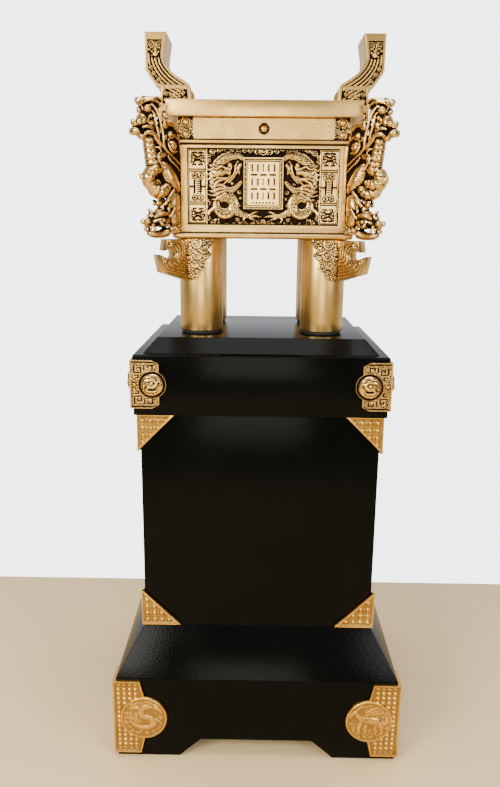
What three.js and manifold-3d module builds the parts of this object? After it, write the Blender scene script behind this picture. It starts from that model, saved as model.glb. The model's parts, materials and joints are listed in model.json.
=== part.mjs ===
// Four-legged bronze ding on its own lacquered plinth.
// Millimetres, +Z up, origin on the floor under the middle of the plinth, the front faces -Y.
// The plan is a rectangle: every level is its half depth, plus a core that makes it wider than deep.

import * as THREE from 'three';
import { mergeVertices } from 'three/addons/utils/BufferGeometryUtils.js';
import Module from 'manifold-3d';

const wasm = await Module();
wasm.setup();

// ---------------------------------------------------------------- driving dimensions

const GAP = 0.3; // air left between fitted pieces
const QUARTER = Math.PI / 2;
const TO_FRONT = new THREE.Vector3(0, -1, 0);

const PLINTH = {
  core: 40.5, // half the difference between width and depth
  base: 319.5, // half depths from here on
  column: 250.5,
  cap: 263.5,
  step: 242,
  deck: 210,
  baseTop: 227, // heights from here on
  slopeTop: 344,
  columnTop: 908,
  capTop: 1055,
  deckTop: 1090,
  board: 18, // thickness of the boards round the hollow base
  cavityTop: 209,
  archFoot: 199, // half widths of the arch cut in each base board
  archCrown: 144,
  archHeight: 50,
};

const LEG = {
  x: 151.5,
  y: 104.3,
  radius: 54,
  padRadius: 49,
  padHeight: 11,
  height: 220.7, // stops GAP short of the vessel
  sides: 18,
};

const BRACKET = {
  thickness: 28,
  wing: 6, // thickness of the plates that wrap the leg
  top: 1, // below the vessel's underside
  height: 99,
};

const VESSEL = {
  core: 47.5,
  foot: 1322, // heights
  footTop: 1335,
  floor: 1346,
  bodyTop: 1538,
  beadTop: 1548,
  rimFoot: 1597,
  rimTop: 1632,
  body: 148, // half depths
  footOut: 167.5,
  beadOut: 157,
  neck: 154.5,
  rim: 178,
  rimInside: 130.5,
  neckInside: 141,
  bodyInside: 133,
  ease: 2, // eased edges of the rim
};

const STUD = {
  radius: 8,
  height: 4.5,
  fromEnd: 19, // of the neck's face
  upper: 38, // heights above the bead
  lower: 12,
  middle: 22,
};

const PANEL = {
  bottom: 1354,
  top: 1530,
  frontHalf: 180.5,
  sideHalf: 133,
  recess: 8, // depth of the pocket in the body wall
  ground: 3, // thickness of the panel's back plate
  stripWidth: 45,
  stripInset: 2,
  stripBar: 39, // the strip's two bars, above and below the middle
  plaqueHalf: 47,
  plaqueHalfHeight: 59,
  plaqueLift: 8, // the plaque's middle above the panel's
  plaqueStand: 4, // how far the plaque stands out of the wall
  boss: 21,
};

const HANDLE = {
  halfDepth: 63,
  post: 28,
  archHeight: 101, // heights above the rim
  height: 168,
  drop: 35, // how far the foot hangs down outside the rim
  archCorner: 12,
  sink: 3,
};

// Corner fittings: widths are measured from the plinth's corner along each face.
const CAP_FITTING = {
  thickness: 6,
  width: 63,
  halfHeight: 58.5,
  centre: 985,
  border: 5,
  discX: 47,
  discR: 33,
};

const TRIANGLE_FITTING = {
  thickness: 7,
  hanging: 92, // height of the ones under the cap
  standing: 99.5, // height of the ones on the slope
  border: 4,
};

const BASE_FITTING = {
  thickness: 7,
  width: 62,
  waist: 76,
  halfHeight: 104.5,
  centre: 117.5,
  border: 4,
  discX: 70.5,
  discR: 60,
};

const DISC_SIDES = 8;

// ---------------------------------------------------------------- finishes

const finish = (color, roughness, metalness) =>
  new THREE.MeshStandardMaterial({ color, roughness, metalness });
const satinGold = () => finish(0xc6a468, 0.38, 0.95);
const reliefGold = () => finish(0xa98547, 0.42, 0.95);
const fittingGold = () => finish(0xb08a45, 0.4, 0.95);
const lacquer = () => finish(0x0b0b0d, 0.3, 0);
const pad = () => finish(0x151515, 0.8, 0);

// ---------------------------------------------------------------- solids

/** The same surface with only its corners kept, each of them once. */
function sealed(geometry) {
  const bare = geometry.clone();
  bare.deleteAttribute('normal');
  bare.deleteAttribute('uv');
  return mergeVertices(bare, 1e-3);
}

/** Hands a closed geometry to the boolean kernel, without the slivers at a lathe's poles. */
function solid(geometry) {
  const merged = sealed(geometry);
  const index = merged.index.array;
  const triVerts = [];
  for (let i = 0; i < index.length; i += 3) {
    const [a, b, c] = [index[i], index[i + 1], index[i + 2]];
    if (a !== b && b !== c && c !== a) triVerts.push(a, b, c);
  }
  const vertProperties = new Float32Array(merged.attributes.position.array);
  return new wasm.Manifold(
    new wasm.Mesh({ numProp: 3, vertProperties, triVerts: new Uint32Array(triVerts) }),
  );
}

/** One solid from several closed geometries that run into each other. */
function fuse(geometries) {
  return geometries.map(solid).reduce((whole, piece) => whole.add(piece));
}

/** Turns a boolean result back into a flat-shaded geometry. */
function geometryOf(manifold) {
  const mesh = manifold.getMesh();
  const indexed = new THREE.BufferGeometry();
  indexed.setAttribute('position', new THREE.BufferAttribute(mesh.vertProperties, mesh.numProp));
  indexed.setIndex(new THREE.BufferAttribute(mesh.triVerts, 1));
  const geometry = indexed.toNonIndexed();
  geometry.computeVertexNormals();
  return geometry;
}

/** A box between two corners. */
function block([x0, y0, z0], [x1, y1, z1]) {
  const box = new THREE.BoxGeometry(x1 - x0, y1 - y0, z1 - z0);
  return box.translate((x0 + x1) / 2, (y0 + y1) / 2, (z0 + z1) / 2);
}

/** A shape from [across, up] corners, always wound the same way so that a hole can be cut in it. */
function outline(points) {
  const corners = points.map(([across, up]) => new THREE.Vector2(across, up));
  return new THREE.Shape(THREE.ShapeUtils.isClockWise(corners) ? corners.reverse() : corners);
}

/** An upright plate that faces -Y: its outline is in X and Z, its back is at backY. */
function plate(shape, backY, thickness, curveSegments = 8) {
  const slab = new THREE.ExtrudeGeometry(shape, {
    depth: thickness,
    bevelEnabled: false,
    curveSegments,
  });
  return slab.rotateX(QUARTER).translate(0, backY, 0);
}

/** A turned disc or boss that faces -Y: the profile is [radius, height] from axis to axis. */
function turnedBoss(profile, sides, x, backY, z) {
  const points = profile.map(([radius, height]) => new THREE.Vector2(radius, height));
  const boss = sealed(new THREE.LatheGeometry(points, sides));
  return boss.rotateX(2 * QUARTER).translate(x, backY, z);
}

/** A moulding run round a rectangle: [half depth, z] from axis to axis, widened in X by the core. */
function rectangularLathe(profile, core) {
  const points = profile.map(([half, z]) => new THREE.Vector2(half * Math.SQRT2, z));
  const lathe = sealed(new THREE.LatheGeometry(points, 4, Math.PI / 4)).rotateX(QUARTER);
  const position = lathe.attributes.position;
  for (let i = 0; i < position.count; i += 1) {
    const x = position.getX(i);
    if (Math.abs(x) > 1) position.setX(i, x + Math.sign(x) * core);
  }
  return lathe;
}

/**
 * A tapering round bar bent along a flat curve. The radii are spread evenly from end to end and
 * both tips close on the axis. lateral is the direction square to the curve's plane, and spread
 * widens or flattens the bar that way.
 */
function bentBar({ route, radii, lateral, sides, steps, spread = 1 }) {
  const curve = new THREE.CatmullRomCurve3(route, false, 'centripetal');
  const taper = new THREE.SplineCurve(radii.map((r, i) => new THREE.Vector2(i, r)));
  const profile = [new THREE.Vector2(0, 0)];
  for (let i = 0; i <= steps; i += 1) {
    const along = i / steps;
    profile.push(new THREE.Vector2(taper.getPoint(along).y, along));
  }
  profile.push(new THREE.Vector2(0, 1));
  const bar = sealed(new THREE.LatheGeometry(profile, sides, Math.PI / sides));
  const position = bar.attributes.position;
  const at = new THREE.Vector3();
  for (let i = 0; i < position.count; i += 1) {
    at.fromBufferAttribute(position, i);
    const centre = curve.getPointAt(at.y);
    const tangent = curve.getTangentAt(at.y);
    const normal = tangent.clone().cross(lateral).normalize();
    centre.addScaledVector(normal, at.x).addScaledVector(lateral, at.z * spread);
    position.setXYZ(i, centre.x, centre.y, centre.z);
  }
  return bar;
}

// ---------------------------------------------------------------- plinth

function plinthBase() {
  const { base, column, core, baseTop, slopeTop, board, cavityTop } = PLINTH;
  const levels = [[0, 0], [base, 0], [base, baseTop], [column, slopeTop], [0, slopeTop]];
  const outside = rectangularLathe(levels, core);
  const inY = base - board;
  const inX = inY + core;
  const cavity = block([-inX, -inY, -board], [inX, inY, cavityTop]);
  const arch = outline([
    [-PLINTH.archFoot - 1, -1],
    [PLINTH.archFoot + 1, -1],
    [PLINTH.archCrown, PLINTH.archHeight],
    [-PLINTH.archCrown, PLINTH.archHeight],
  ]);
  const through = 2 * (base + core + board);
  const frontToBack = plate(arch, through / 2, through);
  const sideToSide = frontToBack.clone().rotateZ(QUARTER);
  return solid(outside).subtract(fuse([cavity, frontToBack, sideToSide]));
}

function plinthColumn() {
  const { column, core, slopeTop, columnTop } = PLINTH;
  return solid(block([-column - core, -column, slopeTop], [column + core, column, columnTop]));
}

function plinthCap() {
  const { cap, step, deck, core, columnTop, capTop, deckTop } = PLINTH;
  const edge = 2; // eased edges
  return solid(
    rectangularLathe(
      [
        [0, columnTop],
        [cap, columnTop],
        [cap, capTop - edge],
        [cap - edge, capTop],
        [step, capTop],
        [deck, deckTop],
        [0, deckTop],
      ],
      core,
    ),
  );
}

// ---------------------------------------------------------------- plinth fittings
// Each wraps a corner. They are made for the front right corner, with the corner at the origin,
// and turned a quarter for each of the others.

/** Front plate from a shape with its free edge towards -X, and the same plate round the corner. */
function wrapCorner(makeFace) {
  const face = makeFace(1);
  const mirrored = makeFace(-1).map((geometry) => geometry.rotateZ(QUARTER));
  return fuse([...face, ...mirrored]);
}

/** A plate's outline, mirrored in X for the other face. */
function handed(points, hand) {
  return outline(points.map(([x, z]) => [x * hand, z]));
}

/** A plate with a raised border round a lower field, from its outline at a given inset. */
function borderedPlate(corners, hand, thickness, border, fieldDrop) {
  const frame = handed(corners(0), hand);
  const field = handed(corners(border), hand);
  frame.holes.push(field);
  return [plate(frame, -GAP, thickness), plate(field, -GAP, thickness - fieldDrop)];
}

function capFitting() {
  const { thickness, width, halfHeight, centre, border, discX, discR } = CAP_FITTING;
  const [cutX, cutZ] = [17, 9]; // the free corners are cut off
  const corners = (inset) => [
    [thickness - inset, centre - halfHeight + inset],
    [thickness - inset, centre + halfHeight - inset],
    [-width + cutX, centre + halfHeight - inset],
    [-width + inset, centre + halfHeight - cutZ - inset / 4],
    [-width + inset, centre - halfHeight + cutZ + inset / 4],
    [-width + cutX, centre - halfHeight + inset],
  ];
  const shoulder = discR - 12;
  const dome = [[0, 0], [discR, 0], [discR, thickness + 2], [shoulder, thickness + 9], [0, thickness + 12]];
  return wrapCorner((hand) => [
    ...borderedPlate(corners, hand, thickness, border, 2),
    turnedBoss(dome, DISC_SIDES, -discX * hand, -GAP, centre),
  ]);
}

/** Triangle with one leg up or down the corner; up is +1 where it stands and -1 where it hangs. */
function triangleFitting(from, up, reach) {
  const { thickness, border } = TRIANGLE_FITTING;
  const slant = 1 + Math.SQRT2; // an inset moves a 45 degree point in by this much
  const corners = (inset) => [
    [thickness - inset, from + up * inset],
    [thickness - inset, from + up * (reach - inset * slant)],
    [thickness - reach + inset * slant, from + up * inset],
  ];
  return wrapCorner((hand) => borderedPlate(corners, hand, thickness, border, 3));
}

/** Coiled beast in low relief on a disc whose middle is at x, z. */
function medallionBeast(x, y, z, hand) {
  const route = [[-30, 28], [-8, 14], [20, 14], [14, -12], [-12, -12], [-34, -30]];
  return bentBar({
    route: route.map(([across, up]) => new THREE.Vector3((across - x) * hand, y, z + up)),
    radii: [3, 9, 12, 11, 8, 3],
    lateral: TO_FRONT,
    sides: 4,
    steps: 4,
    spread: 0.45,
  });
}

function baseFitting() {
  const { thickness, width, waist, halfHeight, centre, border, discX, discR } = BASE_FITTING;
  const knee = 45; // the free edge slants out to the disc
  const corners = (inset) => [
    [thickness - inset, centre - halfHeight + inset],
    [thickness - inset, centre + halfHeight - inset],
    [-width + inset, centre + halfHeight - inset],
    [-waist + inset, centre + knee],
    [-waist + inset, centre - knee],
    [-width + inset, centre - halfHeight + inset],
  ];
  const face = thickness + 1;
  const rim = 7;
  const disc = [[0, 0], [discR, 0], [discR, face + 3], [discR - rim, face], [0, face]];
  return wrapCorner((hand) => [
    ...borderedPlate(corners, hand, thickness, border, 3),
    turnedBoss(disc, DISC_SIDES, -discX * hand, -GAP, centre),
    medallionBeast(discX, -GAP - face, centre, hand),
  ]);
}

// ---------------------------------------------------------------- vessel

/** Outside of the vessel as [half depth, z], from the edge of its underside up to the rim. */
function outsideProfile() {
  const v = VESSEL;
  const bead = (out, low, high) => {
    const radius = (high - low) / 2;
    return [0, 1 / 3, 2 / 3, 1].map((turn) => {
      const angle = -QUARTER + turn * Math.PI;
      return [out - radius + Math.cos(angle) * radius, (low + high) / 2 + Math.sin(angle) * radius];
    });
  };
  return [
    ...bead(v.footOut, v.foot, v.footTop),
    [v.body, v.footTop],
    [v.body, v.bodyTop],
    ...bead(v.beadOut, v.bodyTop, v.beadTop),
    [v.neck, v.beadTop],
    [v.neck, v.rimFoot],
    [v.rim - v.ease, v.rimFoot],
    [v.rim, v.rimFoot + v.ease],
    [v.rim, v.rimTop - v.ease],
    [v.rim - v.ease, v.rimTop],
  ];
}

/** The vessel as a full block with plain mouldings, for trimming what is fixed to its corners. */
function vesselEnvelope() {
  const v = VESSEL;
  const levels = [
    [0, v.foot],
    [v.footOut, v.foot],
    [v.footOut, v.footTop],
    [v.body, v.footTop],
    [v.body, v.bodyTop],
    [v.beadOut, v.bodyTop],
    [v.beadOut, v.rimFoot],
    [v.rim, v.rimFoot],
    [v.rim, v.rimTop],
    [0, v.rimTop],
  ];
  return rectangularLathe(levels.map(([half, z]) => [half > 0 ? half + GAP : 0, z]), v.core);
}

/** A round-headed stud on the neck, facing -Y. */
function neckStud(x, z, faceY) {
  return turnedBoss([[0, -2], [STUD.radius, -1], [0, STUD.height]], 6, x, faceY, z);
}

function vesselBody() {
  const v = VESSEL;
  const shell = rectangularLathe(
    [
      [0, v.foot],
      ...outsideProfile(),
      [v.rimInside, v.rimTop],
      [v.rimInside, v.rimFoot + 6],
      [v.neckInside, v.rimFoot - 6],
      [v.neckInside, v.beadTop + 4],
      [v.bodyInside, v.bodyTop - 4],
      [v.bodyInside, v.floor],
      [0, v.floor],
    ],
    v.core,
  );
  // the long faces and the short ones: half width of the pocket, and how far out the walls are
  const faces = [
    { half: PANEL.frontHalf, wall: v.body, neck: v.neck, neckHalf: v.neck + v.core, turn: 0 },
    { half: PANEL.sideHalf, wall: v.body + v.core, neck: v.neck + v.core, neckHalf: v.neck, turn: QUARTER },
  ];
  let body = solid(shell);
  for (const { half, wall, neck, neckHalf, turn } of faces) {
    const pocket = block([-half, -wall - 1, PANEL.bottom], [half, PANEL.recess - wall, PANEL.top]);
    const studs = [neckStud(0, v.beadTop + STUD.middle, -neck)];
    for (const x of [STUD.fromEnd - neckHalf, neckHalf - STUD.fromEnd]) {
      studs.push(neckStud(x, v.beadTop + STUD.upper, -neck), neckStud(x, v.beadTop + STUD.lower, -neck));
    }
    for (const side of [turn, turn + 2 * QUARTER]) {
      body = body.subtract(solid(pocket.clone().rotateZ(side)));
      body = body.add(fuse(studs.map((stud) => stud.clone().rotateZ(side))));
    }
  }
  return body;
}

// ---------------------------------------------------------------- relief panels

/** A relief ridge that faces -Y, its route in [x, z], half sunk in the plane y. */
function ridge(points, radii, y, extra) {
  const route = points.map(([x, z]) => new THREE.Vector3(x, y, z));
  return bentBar({ route, radii, lateral: TO_FRONT, ...extra });
}

/**
 * Coiled dragon beside the plaque: arched neck, coil, head turned to the middle, hind leg.
 * Heights are from the panel's middle, and pinch fits the dragon to a narrower panel.
 */
function coiledDragon(y, hand, pinch) {
  const middle = (PANEL.bottom + PANEL.top) / 2;
  const bar = (points, radii, steps, sides) => {
    const placed = points.map(([x, z]) => [x * pinch * hand, middle + z]);
    return ridge(placed, radii, y, { steps, sides });
  };
  const neck = [[50, 74], [82, 70], [108, 57], [119, 30], [112, 2]];
  const coil = [[108, -6], [80, -12], [66, -40], [82, -62], [108, -56], [114, -34]];
  const head = [[70, 32], [92, 30], [108, 40]];
  const hindLeg = [[70, -56], [44, -66], [12, -64]];
  return [
    bar(neck, [4, 10, 11, 8, 4], 4, 4),
    bar(coil, [7, 12, 13, 13, 12, 5], 6, 4),
    bar(head, [4, 12, 7], 2, 4),
    bar(hindLeg, [8, 7, 3], 1, 4),
  ];
}

/** Upright border strip with the two bars that part it in three. */
function borderStrip(centre, ground, face) {
  const half = PANEL.stripWidth / 2;
  const [low, high] = [PANEL.bottom + PANEL.stripInset, PANEL.top - PANEL.stripInset];
  const middle = (low + high) / 2;
  const [margin, stand, thick] = [4, 1.5, 3];
  const bars = [middle - PANEL.stripBar, middle + PANEL.stripBar].map((z) =>
    block([centre - half + margin, face - stand, z - thick], [centre + half - margin, ground, z + thick]),
  );
  return [block([centre - half, face, low], [centre + half, ground, high]), ...bars];
}

/** Panel for a wall whose face is at faceY; the long ones carry a plaque, the short ones a boss. */
function reliefPanel(half, faceY, withPlaque) {
  const backY = faceY + PANEL.recess - GAP;
  const ground = backY - PANEL.ground;
  const root = ground + 1; // the relief is rooted a little way into the back plate
  const [low, high] = [PANEL.bottom + GAP, PANEL.top - GAP];
  const centre = (low + high) / 2 + PANEL.plaqueLift;
  const stripEdge = PANEL.stripInset + PANEL.stripWidth;
  const stripCentre = half - stripEdge + PANEL.stripWidth / 2;
  const pinch = (half - stripEdge) / (PANEL.frontHalf - stripEdge);
  const pieces = [block([-half + GAP, ground, low], [half - GAP, backY, high])];
  for (const hand of [-1, 1]) {
    pieces.push(...borderStrip(stripCentre * hand, root, faceY - GAP));
    pieces.push(...coiledDragon(ground - 1, hand, pinch));
  }
  if (withPlaque) {
    const [x, z] = [PANEL.plaqueHalf, PANEL.plaqueHalfHeight];
    pieces.push(block([-x, faceY - PANEL.plaqueStand, centre - z], [x, root, centre + z]));
  } else {
    const dome = [[0, 0], [PANEL.boss, 0], [PANEL.boss, 6], [PANEL.boss - 8, 11], [0, 13]];
    pieces.push(turnedBoss(dome, 12, 0, root, centre));
  }
  const cloud = [[-34, high - 9], [0, high - 11], [34, high - 9]];
  pieces.push(ridge(cloud, [3, 8, 3], ground - 1, { steps: 2, sides: 4 }));
  const behind = block([-half, backY, low], [half, backY + 2 * PANEL.recess, high]);
  return fuse(pieces).subtract(solid(behind));
}

// ---------------------------------------------------------------- handles

/** Lifts a shape drawn with its heights measured from the top of the rim. */
function overRim(points) {
  return points.map(([x, up]) => new THREE.Vector2(x, VESSEL.rimTop + up));
}

/** The handle's side view on the right: inner edge down, foot on the rim, outer edge up. */
function handleOutline() {
  const { height, drop } = HANDLE;
  const outside = VESSEL.rim + VESSEL.core + GAP;
  const shape = new THREE.Shape(overRim([[288, height], [236, height], [244, 113]]));
  shape.splineThru(overRim([[238, 92], [219, 71], [193, 58]]));
  const rest = overRim([
    [180.5, 49],
    [179.5, GAP],
    [outside, GAP],
    [outside, -drop],
    [243, -drop],
    [254, 11 - drop],
    [254, 18],
    [250, 46],
    [264, 46],
    [288, 84],
  ]);
  rest.forEach((corner) => shape.lineTo(corner.x, corner.y));
  return shape;
}

/** The sunk field on each face of the handle. */
function handleField() {
  return new THREE.Shape(
    overRim([
      [281, 148],
      [252, 152],
      [245, 138],
      [249, 113],
      [243, 92],
      [222, 66],
      [192, 49],
      [187, 36],
      [187, 8],
      [246, 8],
      [246, 40],
      [256, 52],
      [281, 86],
    ]),
  );
}

/** Beast head and the two flowing bars of its neck, standing in the sunk field. */
function handleRelief(y) {
  const bar = (points, radii, steps, sides) => {
    const route = overRim(points).map((point) => [point.x, point.y]);
    return ridge(route, radii, y, { steps, sides, spread: 0.5 });
  };
  return [
    bar([[254, 140], [266, 136], [276, 125]], [7, 11, 7], 2, 6),
    bar([[256, 120], [252, 96], [234, 72], [196, 42]], [5, 6, 6, 4], 3, 4),
    bar([[271, 118], [270, 90], [250, 64], [206, 30]], [5, 6, 6, 4], 3, 4),
  ];
}

/** The round-cornered way through under the top bar, seen from the side. */
function handleArch() {
  const { halfDepth, post, archCorner, drop } = HANDLE;
  const inside = halfDepth - post;
  const crown = VESSEL.rimTop + HANDLE.archHeight;
  const low = VESSEL.rimTop - drop - archCorner;
  const arch = new THREE.Shape();
  arch.moveTo(-inside, low);
  arch.lineTo(inside, low);
  arch.lineTo(inside, crown - archCorner);
  arch.quadraticCurveTo(inside, crown, inside - archCorner, crown);
  arch.lineTo(archCorner - inside, crown);
  arch.quadraticCurveTo(-inside, crown, -inside, crown - archCorner);
  return arch;
}

function handle() {
  const { halfDepth, sink } = HANDLE;
  const body = solid(plate(handleOutline(), halfDepth, halfDepth * 2, 2));
  const nearX = VESSEL.neck; // the tunnel starts nearer the middle than the handle does
  const tunnel = plate(handleArch(), -nearX, VESSEL.rim, 2).rotateZ(QUARTER);
  const sunk = halfDepth - sink;
  const frontField = plate(handleField(), -sunk, sink + 1);
  const backField = plate(handleField(), halfDepth + 1, sink + 1);
  return body
    .subtract(fuse([tunnel, frontField, backField]))
    .add(fuse([...handleRelief(-sunk), ...handleRelief(sunk)]));
}

// ---------------------------------------------------------------- legs

/** An upright cylinder on the leg's axis. */
function post(radius, low, height, sides) {
  const bar = new THREE.CylinderGeometry(radius, radius, height, sides);
  return solid(bar.rotateX(QUARTER).translate(0, 0, low + height / 2));
}

function footPad() {
  return post(LEG.padRadius, PLINTH.deckTop, LEG.padHeight, 12);
}

function leg() {
  return post(LEG.radius, PLINTH.deckTop + LEG.padHeight, LEG.height, LEG.sides);
}

// ---------------------------------------------------------------- leg brackets
// Made with the corner's outward diagonal along +X and the leg's axis at the origin.
// Heights are from the bracket's top, which is just under the vessel.

/** Open beast jaw that reaches out along the diagonal: lower jaw, mouth, upper jaw. */
function jawShape() {
  const jaw = new THREE.Shape();
  jaw.moveTo(40, -97);
  jaw.lineTo(62, -97);
  jaw.quadraticCurveTo(92, -75, 124, -74);
  jaw.quadraticCurveTo(140, -55, 139, -32);
  jaw.quadraticCurveTo(130, -49, 101, -44);
  jaw.quadraticCurveTo(88, -36, 92, -29);
  jaw.quadraticCurveTo(100, -19, 112, -20);
  jaw.lineTo(122, -23);
  jaw.lineTo(116, 0);
  jaw.lineTo(40, 0);
  return jaw;
}

/** The scalloped edge of one wing, seen square to the vessel's face, from the leg's axis. */
function wingShape() {
  const wing = new THREE.Shape();
  wing.moveTo(80, -121);
  wing.lineTo(24, -99);
  wing.quadraticCurveTo(2, -95, -7, -74);
  wing.quadraticCurveTo(-20, -67, -12.5, -53);
  wing.quadraticCurveTo(-30, -41, -22.5, -25);
  wing.quadraticCurveTo(-36, -13, -30, 2);
  wing.lineTo(80, 9);
  return wing;
}

function legBracket() {
  const { thickness, wing, height } = BRACKET;
  const jaw = solid(plate(jawShape(), thickness / 2, thickness, 3));
  const ring = post(LEG.radius + wing, -height, height, 16);
  // one wing's curtain hangs before the leg, square to a vessel face, and its mirror before the other
  const curtain = solid(plate(wingShape(), -1, LEG.radius + 40, 2).rotateZ(QUARTER / 2));
  const wings = ring.intersect(curtain.add(curtain.mirror([0, 1, 0])));
  const clearOfLeg = (LEG.radius + GAP) / Math.cos(Math.PI / LEG.sides);
  const seat = post(clearOfLeg, -2 * height, 3 * height, LEG.sides);
  return jaw.add(wings).subtract(seat).translate([0, 0, VESSEL.foot - BRACKET.top]);
}

// ---------------------------------------------------------------- corner dragons
// Made with the corner's outward diagonal along +X and the vessel's corner at the origin.

// Heights are from the vessel's underside.

/** A limb or strand of the dragon, its route in [out from the corner, height]. */
function strand(points, radii, extra) {
  const route = points.map(([out, up]) => new THREE.Vector3(out, 0, VESSEL.foot + up));
  return bentBar({ route, radii, lateral: TO_FRONT, ...extra });
}

/** Upper dragon: thick neck and the knot it ends in, head, jaw, crest with mane, haunch. */
function upperDragon() {
  const neck = [[76, 268], [84, 233], [84, 178], [86, 142], [112, 136], [108, 110], [84, 104], [68, 120]];
  const head = [[60, 284], [84, 276], [112, 258], [139, 234]];
  const jaw = [[88, 238], [131, 218]];
  const mane = [[119, 292], [86, 296], [64, 266], [60, 223], [44, 178], [12, 136]];
  const curl = [[18, 268], [42, 252], [36, 222], [14, 194]];
  const haunch = [[56, 180], [36, 148], [10, 112]];
  return [
    strand(neck, [18, 20, 22, 21, 17, 17, 16, 8], { steps: 8, sides: 5, spread: 1.15 }),
    strand(head, [13, 25, 22, 15], { steps: 3, sides: 5, spread: 1.25 }),
    strand(jaw, [11, 6], { steps: 1, sides: 4, spread: 1.8 }),
    strand(mane, [5, 9, 10, 9, 8, 6], { steps: 4, sides: 4, spread: 2 }),
    strand(curl, [8, 12, 12, 7], { steps: 3, sides: 4, spread: 1.4 }),
    strand(haunch, [9, 21, 9], { steps: 2, sides: 5, spread: 1 }),
  ];
}

/** Lower dragon: body down the corner with its head thrust out, jaw, horn. */
function lowerDragon() {
  const body = [[12, 118], [36, 88], [36, 54], [56, 30], [86, 38], [117, 27]];
  const jaw = [[62, 14], [104, 12]];
  const horn = [[88, 38], [85, 66], [74, 78]];
  return [
    strand(body, [12, 17, 17, 16, 18, 8], { steps: 6, sides: 5, spread: 1.2 }),
    strand(jaw, [9, 5], { steps: 1, sides: 4, spread: 1.8 }),
    strand(horn, [9, 8, 4], { steps: 1, sides: 4, spread: 1.6 }),
  ];
}

function cornerDragon() {
  const root = strand([[6, 210], [8, 23]], [10, 10], { steps: 1, sides: 4 }); // ties it to the corner
  const vessel = vesselEnvelope()
    .translate(-VESSEL.body - VESSEL.core, VESSEL.body, 0)
    .rotateZ(QUARTER / 2);
  return fuse([...upperDragon(), ...lowerDragon(), root]).subtract(solid(vessel));
}

// ---------------------------------------------------------------- assembly

const CORNERS = [
  { name: 'front_right', x: 1, y: -1, turn: 0 },
  { name: 'back_right', x: 1, y: 1, turn: QUARTER },
  { name: 'back_left', x: -1, y: 1, turn: 2 * QUARTER },
  { name: 'front_left', x: -1, y: -1, turn: -QUARTER },
];

/** A solid at each corner; firstTurn turns it from the way it was made to the front right corner. */
function atCorners(name, manifold, material, halfX, halfY, firstTurn = 0) {
  const group = new THREE.Group();
  const geometry = geometryOf(manifold);
  for (const corner of CORNERS) {
    const mesh = new THREE.Mesh(geometry, material());
    mesh.name = `${name}_${corner.name}`;
    mesh.position.set(corner.x * halfX, corner.y * halfY, 0);
    mesh.rotation.z = corner.turn + firstTurn;
    group.add(mesh);
  }
  return group;
}

function piece(name, manifold, material, turn = 0) {
  const mesh = new THREE.Mesh(geometryOf(manifold), material());
  mesh.name = name;
  mesh.rotation.z = turn;
  return mesh;
}

function plinth() {
  const { base, column, cap, core, columnTop, slopeTop } = PLINTH;
  const group = new THREE.Group();
  group.add(piece('plinth_base', plinthBase(), lacquer));
  group.add(piece('plinth_column', plinthColumn(), lacquer));
  group.add(piece('plinth_cap', plinthCap(), lacquer));
  group.add(atCorners('base_fitting', baseFitting(), fittingGold, base + core, base));
  const foot = triangleFitting(slopeTop + GAP, 1, TRIANGLE_FITTING.standing);
  group.add(atCorners('column_foot_fitting', foot, fittingGold, column + core, column));
  const head = triangleFitting(columnTop - GAP, -1, TRIANGLE_FITTING.hanging);
  group.add(atCorners('column_top_fitting', head, fittingGold, column + core, column));
  group.add(atCorners('cap_fitting', capFitting(), fittingGold, cap + core, cap));
  return group;
}

function ding() {
  const { body, core } = VESSEL;
  const group = new THREE.Group();
  group.add(piece('vessel_body', vesselBody(), satinGold));
  const longPanel = reliefPanel(PANEL.frontHalf, -body, true);
  const shortPanel = reliefPanel(PANEL.sideHalf, -body - core, false);
  group.add(piece('panel_front', longPanel, reliefGold));
  group.add(piece('panel_right', shortPanel, reliefGold, QUARTER));
  group.add(piece('panel_back', longPanel, reliefGold, 2 * QUARTER));
  group.add(piece('panel_left', shortPanel, reliefGold, -QUARTER));
  const lug = handle();
  group.add(piece('handle_right', lug, satinGold));
  group.add(piece('handle_left', lug, satinGold, 2 * QUARTER));
  const outward = -QUARTER / 2;
  group.add(atCorners('corner_dragon', cornerDragon(), reliefGold, body + core, body, outward));
  group.add(atCorners('leg', leg(), satinGold, LEG.x, LEG.y));
  group.add(atCorners('foot_pad', footPad(), pad, LEG.x, LEG.y));
  group.add(atCorners('leg_bracket', legBracket(), reliefGold, LEG.x, LEG.y, outward));
  return group;
}

const work = new THREE.Group();
work.add(plinth());
work.add(ding());

export default work;
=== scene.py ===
"""Gilt bronze ding on its black lacquered plinth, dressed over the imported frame.

Sizes are millimetres and are turned into metres where a mesh is made. The origin is on the floor
under the middle of the plinth, +Z is up and the front faces -Y.
"""

import json
import logging
import math
from collections.abc import Callable, Iterator, Sequence
from contextlib import contextmanager
from dataclasses import dataclass, field
from enum import Enum
from functools import cache

import bmesh
import bpy
import numpy as np
from mathutils import Matrix, Vector
from mathutils.bvhtree import BVHTree

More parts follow.
